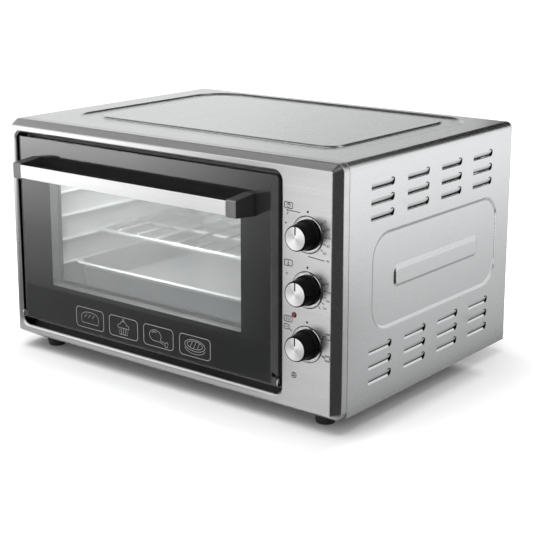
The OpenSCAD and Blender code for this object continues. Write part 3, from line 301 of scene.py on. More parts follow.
copper = finish(
    "sensor_copper", brushing, ALONG_Y, (0.55, 0.27, 0.16, 1), (0.72, 0.38, 0.24, 1), (0.3, 0.45), 0.004, Metallic=1.0
)
bezel_metal = finish(
    "turned_bezel", brushing, {"Stretch": (900, 30, 900)}, grey(0.66), grey(0.80), (0.12, 0.2), 0.002, (20.0, 0.05),
    Metallic=1.0
)
brass = finish(
    "spindle_brass", brushing, ALONG_Y, (0.50, 0.40, 0.20, 1), (0.66, 0.54, 0.30, 1), (0.3, 0.4), 0.004, Metallic=1.0
)
knob_plastic = finish(
    "black_knob_plastic", grain, {"Size": 2600.0}, grey(0.003), grey(0.005), (0.3, 0.36), 0.004, (40.0, 0.1),
    Specular_IOR_Level=0.06
)
hinge_steel = finish(
    "hinge_steel", brushing, {"Stretch": (900, 40, 40)}, grey(0.56), grey(0.72), (0.24, 0.36), 0.004, Metallic=1.0
)
pan_steel = finish(
    "door_pan_sheet", coated_sheet, {"Size": 70.0, "Stretch": (6, 260, 260)}, grey(0.08), grey(0.11), (0.4, 0.5), 0.002,
    (6.0, 0.05), Metallic=0.6
)
trim_plastic = finish(
    "door_trim_plastic", grain, {"Size": 2000.0}, grey(0.045), grey(0.065), (0.3, 0.4), 0.01, (30.0, 0.1)
)
handle_plastic = finish(
    "handle_plastic", grain, {"Size": 1700.0}, grey(0.002), grey(0.004), (0.38, 0.46), 0.01, (25.0, 0.1),
    Specular_IOR_Level=0.02
)
handle_metal = finish(
    "handle_strip_aluminium", brushing, {"Stretch": (6, 1100, 1100)}, grey(0.83), grey(0.88), (0.36, 0.42), 0.002,
    (12.0, 0.03), Metallic=0.6
)
handle_end_plastic = finish(
    "handle_end_plastic", grain, {"Size": 1700.0}, grey(0.016), grey(0.022), (0.32, 0.4), 0.006, (25.0, 0.1),
    Specular_IOR_Level=1.0
)
screw_metal = finish(
    "bright_screw", brushing, {"Stretch": (60, 60, 900)}, grey(0.55), grey(0.72), (0.24, 0.38), 0.01, (60.0, 0.2),
    Metallic=1.0
)
plated_wire = finish(
    "plated_wire", brushing, {"Stretch": (300, 300, 300)}, grey(0.42), grey(0.48), (0.3, 0.38), 0.001, (40.0, 0.08),
    Metallic=0.8
)
tray_metal = finish(
    "tray_sheet", coated_sheet, {"Size": 90.0, "Stretch": (10, 160, 160)}, grey(0.37), grey(0.42), (0.42, 0.5), 0.003,
    (12.0, 0.1), Metallic=0.5
)
rubber = finish("foot_rubber", grain, {"Size": 1500.0}, grey(0.014), grey(0.026), (0.5, 0.65), 0.03, (50.0, 0.3))
lens_red = finish(
    "lamp_lens", grain, {"Size": 500.0}, (0.10, 0.001, 0.003, 1), (0.17, 0.002, 0.004, 1), (0.06, 0.12), 0.002,
    Coat_Weight=0.6
)
print_black = finish(
    "black_glass_print", grain, {"Size": 900.0}, grey(0.0045), grey(0.0055), (0.5, 0.55), 0.0, (12.0, 0.05)
)
panel_ink = finish(
    "panel_ink", grain, {"Size": 3000.0}, grey(0.006), grey(0.012), (0.5, 0.6), 0.004, Specular_IOR_Level=0.1
)
door_ink = finish("door_ink", grain, {"Size": 3000.0}, grey(0.30), grey(0.40), (0.4, 0.5), 0.004)
door_glass = clear_glass("door_glass_sheet", (0.93, 0.95, 0.95, 1), (0.0, 0.03), (0.9, 0.92, 0.92, 1), 1.0)
inner_pane = clear_glass("inner_pane", (0.94, 0.96, 0.95, 1), (0.08, 0.1), (0.92, 0.94, 0.93, 1))


def disc_metal(control):
    """Turned aluminium with its rings round the control's own axis, and painted sheen fans round it."""
    low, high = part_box(control + "_disc")
    return finish(
        control + "_disc_aluminium", rings_and_painted_sheen, {"Centre": (low + high) / 2}, grey(0.46), grey(0.94), (0.22, 0.26),
        0.002, (60.0, 0.02), Metallic=1.0
    )


slot_finish = {
    "silver_sheet": casing_steel, "plain_sheet": plain_zinc, "cavity_sheet": cavity_sheet,
    "runner_sheet": runner_steel, "heater_sheath": heater_sheath, "ceramic_bush": ceramic, "fan_metal": fan_steel,
    "motor_metal": motor_steel, "control_body": control_case, "sensor_copper": copper, "lamp_lens": lens_red,
    "bezel_metal": bezel_metal, "spindle_metal": brass, "knob_plastic": knob_plastic, "hinge_steel": hinge_steel,
    "door_glass": door_glass, "clear_glass": inner_pane, "door_metal": pan_steel, "trim_plastic": trim_plastic,
    "handle_plastic": handle_plastic, "handle_metal": handle_metal, "screw_metal": screw_metal,
    "rack_wire": plated_wire, "tray_enamel": tray_metal, "foot_rubber": rubber, "gland_rubber": rubber,
}


# Pieces


def linked(name, data):
    made = bpy.data.objects.new(name, data)
    bpy.context.scene.collection.objects.link(made)
    return made


def evaluated_mesh(holder):
    """Plain mesh of what an object's curve or modifier makes."""
    bpy.context.view_layer.update()
    return bpy.data.meshes.new_from_object(holder.evaluated_get(bpy.context.evaluated_depsgraph_get()))


def add_piece(name, mesh, material, body, replaced=()):
    mesh.materials.clear()
    mesh.materials.append(material)
    made = linked(name, mesh)
    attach(made, body)
    if replaced:
        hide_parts(*replaced)
    return made


def to_mesh(bm, name, sharp=35.0):
    mesh = bpy.data.meshes.new(name)
    bm.to_mesh(mesh)
    bm.free()
    if "custom_normal" in mesh.attributes:
        mesh.attributes.remove(mesh.attributes["custom_normal"])
    mesh.shade_smooth()
    mesh.set_sharp_from_angle(angle=math.radians(sharp))
    return mesh


def joined_copy(node):
    """The node's triangles with their doubles merged and its flat faces made whole."""
    bm = bmesh.new()
    bm.from_mesh(nodes[node].data)
    bmesh.ops.remove_doubles(bm, verts=bm.verts, dist=2e-6)
    bmesh.ops.dissolve_limit(bm, angle_limit=math.radians(0.2), verts=bm.verts, edges=bm.edges)
    return bm


def wall(bm, lower, upper):
    """Faces between two closed rows of as many points."""
    for i in range(len(lower)):
        j = (i + 1) % len(lower)
        bm.faces.new((lower[i], lower[j], upper[j], upper[i]))


def round_edges(bm, width, picked, segments=3, least=18.0, profile=0.5):
    edges = [e for e in bm.edges if e.is_manifold and e.calc_face_angle() > math.radians(least) and picked(e)]
    bmesh.ops.bevel(
        bm, geom=edges, offset=width * MM, offset_type="OFFSET", segments=segments, profile=profile, affect="EDGES",
        clamp_overlap=False
    )


def stand_in(node, bm, material=None, sharp=35.0):
    """The piece that stands for a node in the picture, with even shading over its flat faces."""
    made = add_piece(
        node + "_finished", to_mesh(bm, node + "_finished", sharp), material or slot_finish[slot_of[node]],
        body_of[node], (node,)
    )
    even = made.modifiers.new("even_shading", "WEIGHTED_NORMAL")
    even.keep_sharp = True
    return made


def near(value, target, room=0.03):
    return abs(value - target) < room * MM


def middle(edge):
    return (edge.verts[0].co + edge.verts[1].co) / 2


def front_centre(node):
    low, high = span(node)
    return (low.x + high.x) / 2, (low.z + high.z) / 2


knob_places = {control: front_centre(control + "_disc") for control in ("timer", "thermostat", "selector")}
lamp_place = front_centre("indicator_lamp")


def paint_recess_shade(material, low, high):
    """Painted shade: dark walls between two corners of the door opening, from just behind its lip."""
    tree = material.node_tree
    place = own_place(tree)
    blend, shade_from, shade_to = 0.2 * MM, at(0, 3, 0).y, at(0, 5, 0).y
    past = axes(tree, past_box(tree, place, (low + high) / 2, (high - low) / 2))
    inside = remap(tree, sums(tree, "MAXIMUM", past["X"], past["Z"]), blend, -blend, 0.0, 1.0)
    behind = remap(tree, axes(tree, place)["Y"], shade_from, shade_to, 0.0, 1.0)
    repaint(material, sums(tree, "MULTIPLY", inside, behind), grey(0.03))


def paint_front_highlight(material, node, depth, colour):
    """Painted highlight: a lighter colour on a node's first millimetres behind its front."""
    tree = material.node_tree
    front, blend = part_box(node)[0].y, 0.3
    along = axes(tree, own_place(tree))["Y"]
    repaint(material, remap(tree, along, front + (depth + blend) * MM, front + depth * MM, 0.0, 1.0), colour)


def make_front_frame():
    bm = joined_copy("front_frame")
    rim_depth, rim_round, hole_room = 14, 1.4, 9.0
    sheet, lip, lip_profile, mouth_lap = 0.5, 4.0, 0.35, 5.0
    face, behind, shoulder = at(0, 0, 0).y, at(0, sheet, 0).y, at(0, rim_depth, 0).y
    holes = [at(x, 0, z) for x, z in [*knob_places.values(), lamp_place]]
    mouth_low, mouth_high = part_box("cavity_mouth")

    def at_depth(edge, y):
        return all(near(v.co.y, y) for v in edge.verts)

    def at_opening(edge):
        place = middle(edge)
        return mouth_low.x < place.x < mouth_high.x and mouth_low.z < place.z < mouth_high.z

    def on_face(edge):
        return at_depth(edge, face) and all((middle(edge) - hole).length > hole_room * MM for hole in holes)

    round_edges(bm, rim_round, lambda e: on_face(e) and not at_opening(e), 4)
    round_edges(bm, lip, lambda e: on_face(e) and at_opening(e), 6, profile=lip_profile)
    round_edges(bm, lip - sheet, lambda e: at_depth(e, behind) and at_opening(e), 6, profile=lip_profile)
    round_edges(bm, rim_round, lambda e: at_depth(e, shoulder), 4)
    # Painted shade on the walls inside the door opening, behind its lip
    edge = Vector((mouth_lap - 1, 0, mouth_lap - 1)) * MM
    paint_recess_shade(front_steel, mouth_low + edge, mouth_high - edge)
    stand_in("front_frame", bm, front_steel)


def make_top_panel():
    bm = joined_copy("top_panel")
    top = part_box("top_panel")[1].z
    channel_depth, channel_from = 2.5 * MM, at(0, 40, 0).y

    def on_channel(edge):
        level = all(near(v.co.z, top) or near(v.co.z, top - channel_depth) for v in edge.verts)
        return level and middle(edge).y > channel_from

    round_edges(bm, 0.8, on_channel)
    stand_in("top_panel", bm, sharp=30.0)


def make_side_panel(node):
    """Side with rounded pressings, a wider upper slope on its bar, and its upper edge drawn up to the lid."""
    bm = joined_copy(node)
    outer, upper = max(abs(v.co.x) for v in bm.verts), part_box(node)[1].z
    field_low, field_high, field_depth = at(0, 0, 101).z, at(0, 0, 242).z, 2 * MM
    bar_middle, bar_top = at(0, 0, 171.5).z, at(0, 0, 188.5).z
    sheet_room, slope_more, lid_gap = 0.6 * MM, 2.2 * MM, 0.42 * MM
    for vert in bm.verts:
        if abs(vert.co.x) > outer - sheet_room and bar_middle < vert.co.z < bar_top:
            vert.co.z -= slope_more

    def on_pressing(edge):
        level = all(near(abs(v.co.x), outer) or near(abs(v.co.x), outer - field_depth) for v in edge.verts)
        return level and field_low < middle(edge).z < field_high

    round_edges(bm, 0.9, on_pressing)
    for vert in bm.verts:
        if near(vert.co.z, upper):
            vert.co.z += lid_gap
    stand_in(node, bm, sharp=30.0)


make_front_frame()
make_top_panel()
make_side_panel("left_side_panel")
make_side_panel("right_side_panel")

# Painted highlights: a lighter colour on front edges, and a painted reflection on the handle end's front face
paint_front_highlight(handle_end_plastic, "right_handle_end", 1.2, grey(0.13))
paint_front_highlight(plated_wire, "wire_rack", 6.0, grey(0.97))
paint_front_highlight(tray_metal, "baking_tray", 9.0, grey(0.92))

# Solid mouldings and castings with their edges rounded
for node, width in {
    "left_door_trim": 0.6, "right_door_trim": 0.6, "left_handle_end": 1.2, "right_handle_end": 1.2, "handle_strip": 0.3,
    "handle_bar": 0.4, "front_left_foot": 0.6, "front_right_foot": 0.6, "rear_left_foot": 0.6, "rear_right_foot": 0.6,
}.items():
    bm = joined_copy(node)
    round_edges(bm, width, lambda e: True, 2, 30.0)
    stand_in(node, bm, handle_end_plastic if "handle_end" in node else None, 40.0)

# Turned, pressed and bent pieces whose round faces are shaded smooth
for node in (
    "knob_bezels", "indicator_lamp", "timer_knob", "thermostat_knob", "selector_knob", "left_hinge_pin",
    "right_hinge_pin", "left_door_stay", "right_door_stay", "left_hinge_bracket", "right_hinge_bracket",
    "upper_heaters", "lower_heaters", "heater_bushes", "fan_cover", "fan_impeller", "fan_housing", "baking_tray",
    "thermostat_sensor", "cable_gland", "back_panel", "base_panel", "inner_glass", "door_pan",
):
    stand_in(node, joined_copy(node), sharp=32.0)
for control in knob_places:
    stand_in(control + "_disc", joined_copy(control + "_disc"), disc_metal(control), 32.0)


# Outlines, and the door glass: a clear sheet with a black print behind its border


def arc(cx, cz, rx, rz, first, last, steps=18):
    turns = [math.radians(first + (last - first) * i / steps) for i in range(steps + 1)]
    return [(cx + rx * math.cos(a), cz + rz * math.sin(a)) for a in turns]


def ring_points(cx, cz, rx, rz=None, steps=24):
    return arc(cx, cz, rx, rx if rz is None else rz, 0, 360, steps)[:-1]


def rounded_loop(x0, z0, x1, z1, r, steps=6):
    points = []
    for cx, cz, first in ((x1 - r, z1 - r, 0), (x0 + r, z1 - r, 90), (x0 + r, z0 + r, 180), (x1 - r, z0 + r, 270)):
        points += arc(cx, cz, r, r, first, first + 90, steps)
    return points


def plate(outer, y0, y1, hole=None):
    """Plate from y0 to y1 on an outline, with a hole of as many points."""
    bm = bmesh.new()
    loops = [outer] if hole is None else [outer, hole]
    fronts = [[bm.verts.new(at(x, y0, z)) for x, z in loop] for loop in loops]
    backs = [[bm.verts.new(at(x, y1, z)) for x, z in loop] for loop in loops]
    for front, back in zip(fronts, backs):
        wall(bm, front, back)
    for level in (fronts, backs):
        if hole is None:
            bm.faces.new(level[0])
        else:
            wall(bm, *level)
    bmesh.ops.recalc_face_normals(bm, faces=bm.faces)
    return bm


def make_door_glass():
    low, high = span("door_glass")
    clear_low, clear_high = span("inner_glass")
    room, inset, corner, hole_corner = Vector((0.3, 0, 0.3)), 0.5, 1.5, 2.0
    print_from, print_to = high.y - 0.35, high.y - 0.2
    sheet = plate(rounded_loop(low.x, low.z, high.x, high.z, corner), low.y, high.y)
    round_edges(sheet, 0.4, lambda e: True, 2, 30.0)
    edge = rounded_loop(low.x + inset, low.z + inset, high.x - inset, high.z - inset, corner)
    hole_low, hole_high = clear_low - room, clear_high + room
    window = rounded_loop(hole_low.x, hole_low.z, hole_high.x, hole_high.z, hole_corner)
    layer = plate(edge, print_from, print_to, window)
    for name, bm, sharp, material in (
        ("door_glass_sheet", sheet, 20.0, door_glass), ("door_border_print", layer, 35.0, print_black)
    ):
        add_piece(name, to_mesh(bm, name, sharp), material, "door", ("door_glass",))


make_door_glass()


# Pieces that repeat, grown from trees with named sizes


def start_tree(name, inputs):
    tree = bpy.data.node_groups.new(name, "GeometryNodeTree")
    tree.interface.new_socket("Geometry", in_out="INPUT", socket_type="NodeSocketGeometry")
    for label, kind in [*inputs, ("Finish", "Material")]:
        tree.interface.new_socket(label, in_out="INPUT", socket_type="NodeSocket" + kind)
    tree.interface.new_socket("Geometry", in_out="OUTPUT", socket_type="NodeSocketGeometry")
    return tree, tree.nodes.new("NodeGroupInput").outputs


def on_points(tree, points, shape, **more):
    return put(tree, "GeometryNodeInstanceOnPoints", {"Points": points, "Instance": shape, **more}).outputs[0]


def turned(tree, angles):
    return put(tree, "FunctionNodeEulerToRotation", {0: angles}).outputs[0]


def end_tree(tree, given, geometry):
    whole = put(tree, "GeometryNodeRealizeInstances", {"Geometry": geometry}).outputs[0]
    painted = put(tree, "GeometryNodeSetMaterial", {"Geometry": whole, "Material": given["Finish"]}).outputs[0]
    tree.links.new(painted, tree.nodes.new("NodeGroupOutput").inputs["Geometry"])
    return tree


def grown(name, tree, values, places=()):
    """Plain mesh that a tree makes from its values, and from points where it needs them."""
    base = bpy.data.meshes.new(name)
    base.from_pydata([tuple(p) for p in places], [], [])
    carrier = linked(name, base)
    modifier = carrier.modifiers.new(name, "NODES")
    modifier.node_group = tree
    for item in tree.interface.items_tree:
        if item.in_out == "INPUT" and item.name in values:
            modifier[item.identifier] = values[item.name]
    mesh = evaluated_mesh(carrier)
    carrier.modifiers.clear()
    bpy.data.objects.remove(carrier)
    mesh.name = name
    return mesh


def make_dial_tree():
    """Short printed lines round a control."""
    tree, given = start_tree("dial_lines", [
        ("Count", "Int"), ("Radius", "Float"), ("First angle", "Float"), ("Step angle", "Float"),
        ("Size", "Vector"), ("Centre", "Vector"),
    ])
    line = put(tree, "GeometryNodeMeshLine", {"Count": given["Count"], "Offset": (0, 0, 0)}).outputs[0]
    order = put(tree, "GeometryNodeInputIndex").outputs[0]
    angle = sums(tree, "MULTIPLY_ADD", order, given["Step angle"], given["First angle"])
    across = sums(tree, "MULTIPLY", sums(tree, "COSINE", angle), given["Radius"])
    up = sums(tree, "MULTIPLY", sums(tree, "SINE", angle), given["Radius"])
    placed = vec(tree, "ADD", xyz(tree, X=across, Z=up), given["Centre"])
    points = put(tree, "GeometryNodeSetPosition", {"Geometry": line, "Position": placed}).outputs[0]
    mark = put(tree, "GeometryNodeMeshCube", {"Size": given["Size"]}).outputs[0]
    lean = turned(tree, xyz(tree, Y=sums(tree, "MULTIPLY", angle, -1.0)))
    return end_tree(tree, given, on_points(tree, points, mark, Rotation=lean))


def make_screw_tree():
    """One screw at each point, each left at its own angle."""
    tree, given = start_tree("screws", [("Screw", "Object"), ("Turn", "Vector"), ("Seed", "Int")])
    shape = put(tree, "GeometryNodeObjectInfo", {"Object": given["Screw"]}).outputs["Geometry"]
    set_in = on_points(tree, given["Geometry"], shape, Rotation=turned(tree, given["Turn"]))
    chance = put(tree, "FunctionNodeRandomValue", {3: math.pi, "Seed": given["Seed"]}, data_type="FLOAT").outputs[1]
    twist = turned(tree, xyz(tree, Z=chance))
    driven = put(tree, "GeometryNodeRotateInstances", {"Instances": set_in, "Rotation": twist}).outputs[0]
    return end_tree(tree, given, driven)


def make_row_tree():
    """One shape at each point."""
    tree, given = start_tree("row", [("Shape", "Object")])
    shape = put(tree, "GeometryNodeObjectInfo", {"Object": given["Shape"]}).outputs["Geometry"]
    return end_tree(tree, given, on_points(tree, given["Geometry"], shape))


def make_rack_tree():
    """Welded wire rack: a bent outer wire, bars laid over it and two cross wires under them."""
    tree, given = start_tree("welded_rack", [
        ("Width", "Float"), ("Length", "Float"), ("Corner", "Float"), ("Outer wire", "Float"), ("Bar wire", "Float"),
        ("Cross wire", "Float"), ("Bars", "Int"), ("First bar", "Vector"), ("Bar step", "Vector"),
        ("First cross", "Vector"), ("Cross step", "Vector"), ("Centre", "Vector"),
    ])

    def wire(curve, radius, caps):
        profile = put(tree, "GeometryNodeCurvePrimitiveCircle", {"Resolution": 14, "Radius": radius}).outputs[0]
        swept = {"Curve": curve, "Profile Curve": profile, "Fill Caps": caps}
        return put(tree, "GeometryNodeCurveToMesh", swept).outputs[0]

    def row(count, first, step, shape):
        points = put(tree, "GeometryNodeMeshLine", {"Count": count, "Start Location": first, "Offset": step}).outputs[0]
        return on_points(tree, points, shape)

    def straight(axis, length):
        end = xyz(tree, **{axis: sums(tree, "MULTIPLY", length, 0.5)})
        start = put(tree, "ShaderNodeVectorMath", {0: end, "Scale": -1.0}, operation="SCALE").outputs[0]
        return put(tree, "GeometryNodeCurvePrimitiveLine", {"Start": start, "End": end}).outputs[0]

    outline = put(tree, "GeometryNodeCurvePrimitiveQuadrilateral", {"Width": given["Width"], "Height": given["Length"]})
    bend = {"Curve": outline.outputs[0], "Radius": given["Corner"], "Count": 8}
    bent = put(tree, "GeometryNodeFilletCurve", bend, mode="POLY").outputs[0]
    bar = wire(straight("Y", given["Length"]), given["Bar wire"], True)
    cross = wire(straight("X", given["Width"]), given["Cross wire"], True)
    welded = tree.nodes.new("GeometryNodeJoinGeometry")
    for part in (
        wire(bent, given["Outer wire"], False), row(given["Bars"], given["First bar"], given["Bar step"], bar),
        row(2, given["First cross"], given["Cross step"], cross),
    ):
        tree.links.new(part, welded.inputs[0])
    moved = {"Geometry": welded.outputs[0], "Translation": given["Centre"]}
    return end_tree(tree, given, put(tree, "GeometryNodeTransform", moved).outputs[0])


def cross_screw():
    """Pan-head screw with a cross recess, along +Z with the underside of its head at z = 0."""
    bm = bmesh.new()
    count = 24

    def ring(r, z):
        turns = [2 * math.pi * i / count for i in range(count)]
        return [bm.verts.new((r * math.cos(a) * MM, r * math.sin(a) * MM, z * MM)) for a in turns]

    rings = [ring(1.6, -6), ring(2.0, -5.6), ring(2.0, 0), ring(4.0, 0), ring(4.0, 0.8), ring(3.7, 1.4), ring(2.9, 2.0)]
    for lower, upper in zip(rings, rings[1:]):
        wall(bm, lower, upper)
    bm.faces.new(list(reversed(rings[0])))
    arm, reach, brim_z, floor_z, taper = 0.42, 2.0, 2.0, 0.9, 0.6
    corner = [(reach, -arm), (reach, arm), (arm, arm)]
    outline = [Matrix.Rotation(math.radians(90 * q), 2) @ Vector(p) for q in range(4) for p in corner]
    brim = [bm.verts.new((p.x * MM, p.y * MM, brim_z * MM)) for p in outline]
    floor = [bm.verts.new((p.x * taper * MM, p.y * taper * MM, floor_z * MM)) for p in outline]
    wall(bm, floor, brim)
    bm.faces.new(floor)
    rims = [bm.edges.get((loop[i], loop[(i + 1) % len(loop)])) for loop in (rings[-1], brim) for i in range(len(loop))]
    bmesh.ops.triangle_fill(bm, edges=rims, use_beauty=True)
    bmesh.ops.recalc_face_normals(bm, faces=bm.faces)
    return linked("cross_screw", to_mesh(bm, "cross_screw", 40.0))


def loose_boxes(node):
    """Lowest and highest corner of each separate solid of a node."""
    bm = joined_copy(node)
    left, boxes = set(bm.verts), []
    while left:
        reached, front = set(), [left.pop()]
        while front:
            vert = front.pop()
            reached.add(vert)
            for edge in vert.link_edges:
                other = edge.other_vert(vert)
                if other in left:
                    left.remove(other)
                    front.append(other)
        boxes.append([Vector(pick(v.co[i] for v in reached) for i in range(3)) for pick in (min, max)])
    bm.free()
    return sorted(boxes, key=lambda b: tuple(round(c, 5) for c in b[0]))


def make_case_screws():
    model, tree = cross_screw(), make_screw_tree()
    head, back = 2.0 * MM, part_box("back_panel")[1].y + MM
    behind, under = [], []
    for low, high in loose_boxes("case_screws"):
        centre = (low + high) / 2
        if high.y > back:
            behind.append((centre.x, high.y - head, centre.z))
        else:
            under.append((centre.x, centre.y, high.z - head))
    for name, places, turn, seed in (
        ("back_panel_screws", behind, (-math.pi / 2, 0, 0), 3), ("foot_screws", under, (0, 0, 0), 8)
    ):
        mesh = grown(name, tree, {"Screw": model, "Turn": turn, "Seed": seed, "Finish": screw_metal}, places)
        add_piece(name, mesh, screw_metal, "oven_body", ("case_screws",))
    bpy.data.objects.remove(model)


def make_louvre_lips():
    """Turned lower edges of the louvres, taller in the lower rows."""
    tree = make_row_tree()
    first_column, column_step, columns = 75.5, 88, 4
    sheet, foot, slope, lip_ends = 0.4, -0.2, 0.57, (0.6, 49.5)
    for side, node in ((1, "right_side_panel"), (-1, "left_side_panel")):
        face = max(abs(corner.x) for corner in span(node))
        for group, rows, rise in (("lower", (33, 54, 75), 2.7), ("upper", (259, 280, 301), 1.6)):
            lean = rise * slope
            outline = [(0, foot), (-lean, rise), (-lean - sheet, rise), (-sheet, foot)]
            bm = bmesh.new()
            ends = [[bm.verts.new((side * x * MM, y * MM, z * MM)) for x, z in outline] for y in lip_ends]
            wall(bm, *ends)
            for end in ends:
                bm.faces.new(end)
            bmesh.ops.recalc_face_normals(bm, faces=bm.faces)
            model = linked("lip", to_mesh(bm, "lip"))
            starts = [first_column + column_step * column for column in range(columns)]
            places = [at(side * face, y, z) for y in starts for z in rows]
            name = f"{node}_{group}_lips"
            mesh = grown(name, tree, {"Shape": model, "Finish": casing_steel}, places)
            add_piece(name, mesh, casing_steel, "oven_body", (node,))
            bpy.data.objects.remove(model)


def make_wire_rack():
    low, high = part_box("wire_rack")
    outer, bar, weld, corner, step = 2.5 * MM, 1.6 * MM, 0.5 * MM, 14 * MM, 42 * MM
    width, length = high.x - low.x - 2 * outer, high.y - low.y - 2 * outer
    bars = 2 * math.floor((width / 2 - step / 2) / step) + 1
    lift = outer + bar - weld
    mesh = grown("wire_rack_finished", make_rack_tree(), {
        "Width": width, "Length": length, "Corner": corner, "Outer wire": outer, "Bar wire": bar,
        "Cross wire": outer - weld, "Bars": bars, "First bar": (-(bars - 1) / 2 * step, 0, lift),
        "Bar step": (step, 0, 0), "First cross": (0, -length / 6, 0), "Cross step": (0, length / 3, 0),
        "Centre": ((low.x + high.x) / 2, (low.y + high.y) / 2, low.z + outer), "Finish": plated_wire,
    })
    mesh.shade_smooth()
    mesh.set_sharp_from_angle(angle=math.radians(40))
    add_piece("wire_rack_finished", mesh, plated_wire, "rack", ("wire_rack",))


make_case_screws()
make_louvre_lips()
make_wire_rack()


# Printed marks, all on the plane of the front face

INK_LEVELS = (-0.05, 0.02)


def ink_line(bm, points, width, closed=False):
    """Printed line of one width through points."""
    count = len(points)
    sides = []
    for i, (x, z) in enumerate(points):
        before = points[i - 1] if closed or i else points[i]
        after = points[(i + 1) % count] if closed or i + 1 < count else points[i]
        along = Vector((after[0] - before[0], after[1] - before[1])).normalized() * width / 2
        pair = [(x - along.y, z + along.x), (x + along.y, z - along.x)]
        sides.append([bm.verts.new(at(px, level, pz)) for level in INK_LEVELS for px, pz in pair])
    for i in range(count if closed else count - 1):
        a, b = sides[i], sides[(i + 1) % count]
        for p, q in ((0, 1), (1, 3), (3, 2), (2, 0)):
            bm.faces.new((a[p], a[q], b[q], b[p]))
    if not closed:
        for end in (sides[0], sides[-1]):
            bm.faces.new((end[0], end[1], end[3], end[2]))


def ink_spot(bm, x, z, r):
    points = ring_points(x, z, r, steps=20)
    levels = [[bm.verts.new(at(px, level, pz)) for px, pz in points] for level in INK_LEVELS]
    for level in levels:
        bm.faces.new(level)
    wall(bm, *levels)


def ink_number(bm, text, size, x, z):
    """Plain number, centred on a point."""
    curve = bpy.data.curves.new("number", "FONT")
    curve.body = text
    curve.size = size * MM
    curve.align_x = "CENTER"
    curve.align_y = "CENTER"
    curve.extrude = 0.03 * MM
    curve.resolution_u = 3
    holder = linked("number", curve)
    mesh = evaluated_mesh(holder)
    mesh.transform(Matrix.Translation(at(x, -0.02, z)) @ Matrix.Rotation(math.pi / 2, 4, "X"))
    bm.from_mesh(mesh)
    bpy.data.objects.remove(holder)
    bpy.data.curves.remove(curve)
    bpy.data.meshes.remove(mesh)


def printed(bm, name, material, body):
    bmesh.ops.recalc_face_normals(bm, faces=bm.faces)
    add_piece(name, to_mesh(bm, name), material, body)


def make_panel_print():
    bm = bmesh.new()
    thin, fine = 1.0, 0.75
    dot_up, dot_r, ring_r, figure_r = 30.2, 1.6, 24.7, 34.2
    for x, z in knob_places.values():
        ink_spot(bm, x, z + dot_up, dot_r)
        ink_line(bm, ring_points(x, z, ring_r, steps=48), 1.1, True)
    x, z = knob_places["timer"]
    for angle, text in ((38, "10"), (20, "20"), (1, "30"), (-18, "45"), (-37, "60")):
        a = math.radians(angle)
        ink_number(bm, text, 5.2, x + figure_r * math.cos(a), z + figure_r * math.sin(a))
    ink_line(bm, [(x + 1, z - 28.5), (x + 27, z - 30.5)], thin)
    ink_number(bm, "90", 4.6, x + 32.5, z - 30.2)
    ink_line(bm, [(x - 12, z + 27.5), (x - 34, z + 28.5)], thin)
    ink_line(bm, [(x - 34, z + 28.5), (x - 31.5, z + 25.5), (x - 34, z + 22.5)], thin)
    ink_spot(bm, x - 35.5, z + 11, 1.2)
    x, z = knob_places["thermostat"]
    for angle, text in ((24, "100"), (4, "150"), (-16, "200"), (-36, "250")):
        a = math.radians(angle)
        ink_number(bm, text, 4.2, x + 34.4 * math.cos(a), z + 34.0 * math.sin(a))
    ink_number(bm, "50", 4.2, x - 33.5, z + 17)
    x, z = knob_places["selector"]
    for dx, dz, levels in ((34, 17, (2.6,)), (33, -13, (2.6, -2.6))):
        ink_line(bm, rounded_loop(x + dx - 3.6, z + dz - 4, x + dx + 3.6, z + dz + 4, 0.8, 2), fine, True)
        for level in levels:
            ink_line(bm, [(x + dx - 2.4, z + dz + level), (x + dx + 2.4, z + dz + level)], 0.9)
        ink_line(bm, [(x + dx - 9, z + dz * 0.86), (x + dx - 4.6, z + dz)], thin)
    frame_x = 234.3
    timer_z, heat_z, lamp_z = 284.6, 207.6, 131.0
    for mark_z in (timer_z, heat_z, lamp_z):
        ink_line(bm, rounded_loop(frame_x - 6.6, mark_z - 4, frame_x + 6.6, mark_z + 4, 1.6, 3), thin, True)
    ink_line(bm, [(frame_x + 2.2, timer_z + 1.8), (frame_x, timer_z), (frame_x, timer_z + 2.8)], thin)
    ink_line(bm, ring_points(frame_x, timer_z, 2.9, steps=16), fine, True)
    ink_line(bm, [(frame_x, heat_z + 2.8), (frame_x, heat_z - 0.6)], thin)
    ink_line(bm, ring_points(frame_x, heat_z - 1.8, 1.2, steps=12), fine, True)
    for step in (-3, 0, 3):
        wave = [(frame_x + step + 0.7 * math.sin(t * 1.3), lamp_z - 2.4 + t * 0.6) for t in range(9)]
        ink_line(bm, wave, fine)
    ink_line(bm, rounded_loop(frame_x - 6.6, 116.6, frame_x + 1.6, 123.2, 1.2, 2), thin, True)
    ink_line(bm, [(frame_x - 4.8, 119.9), (frame_x - 0.2, 119.9)], 0.9)
    ink_line(bm, [(frame_x + 1.6, 118), (frame_x + 6.5, 114.6)], thin)
    fan_x, fan_z = 244.5, 54.7
    ink_line(bm, ring_points(fan_x, fan_z, 3.8, steps=24), thin, True)
    for blade in range(3):
        a = math.radians(90 + blade * 120)
        ink_spot(bm, fan_x + 1.7 * math.cos(a), fan_z + 1.7 * math.sin(a), 1.15)
    printed(bm, "panel_print", panel_ink, "oven_body")


def make_dial_lines():
    tree = make_dial_tree()
    radius, size = 28.4 * MM, (4.6 * MM, 0.07 * MM, 1.0 * MM)
    for control, count, first, step in (
        ("timer", 5, 38, -18.8), ("thermostat", 6, 42, -17.5), ("selector", 2, 26, -48)
    ):
        x, z = knob_places[control]
        mesh = grown(control + "_dial_lines", tree, {
            "Count": count, "Radius": radius, "First angle": math.radians(first), "Step angle": math.radians(step),
            "Size": size, "Centre": at(x, -0.02, z), "Finish": panel_ink,
        })
        add_piece(control + "_dial_lines", mesh, panel_ink, "oven_body")


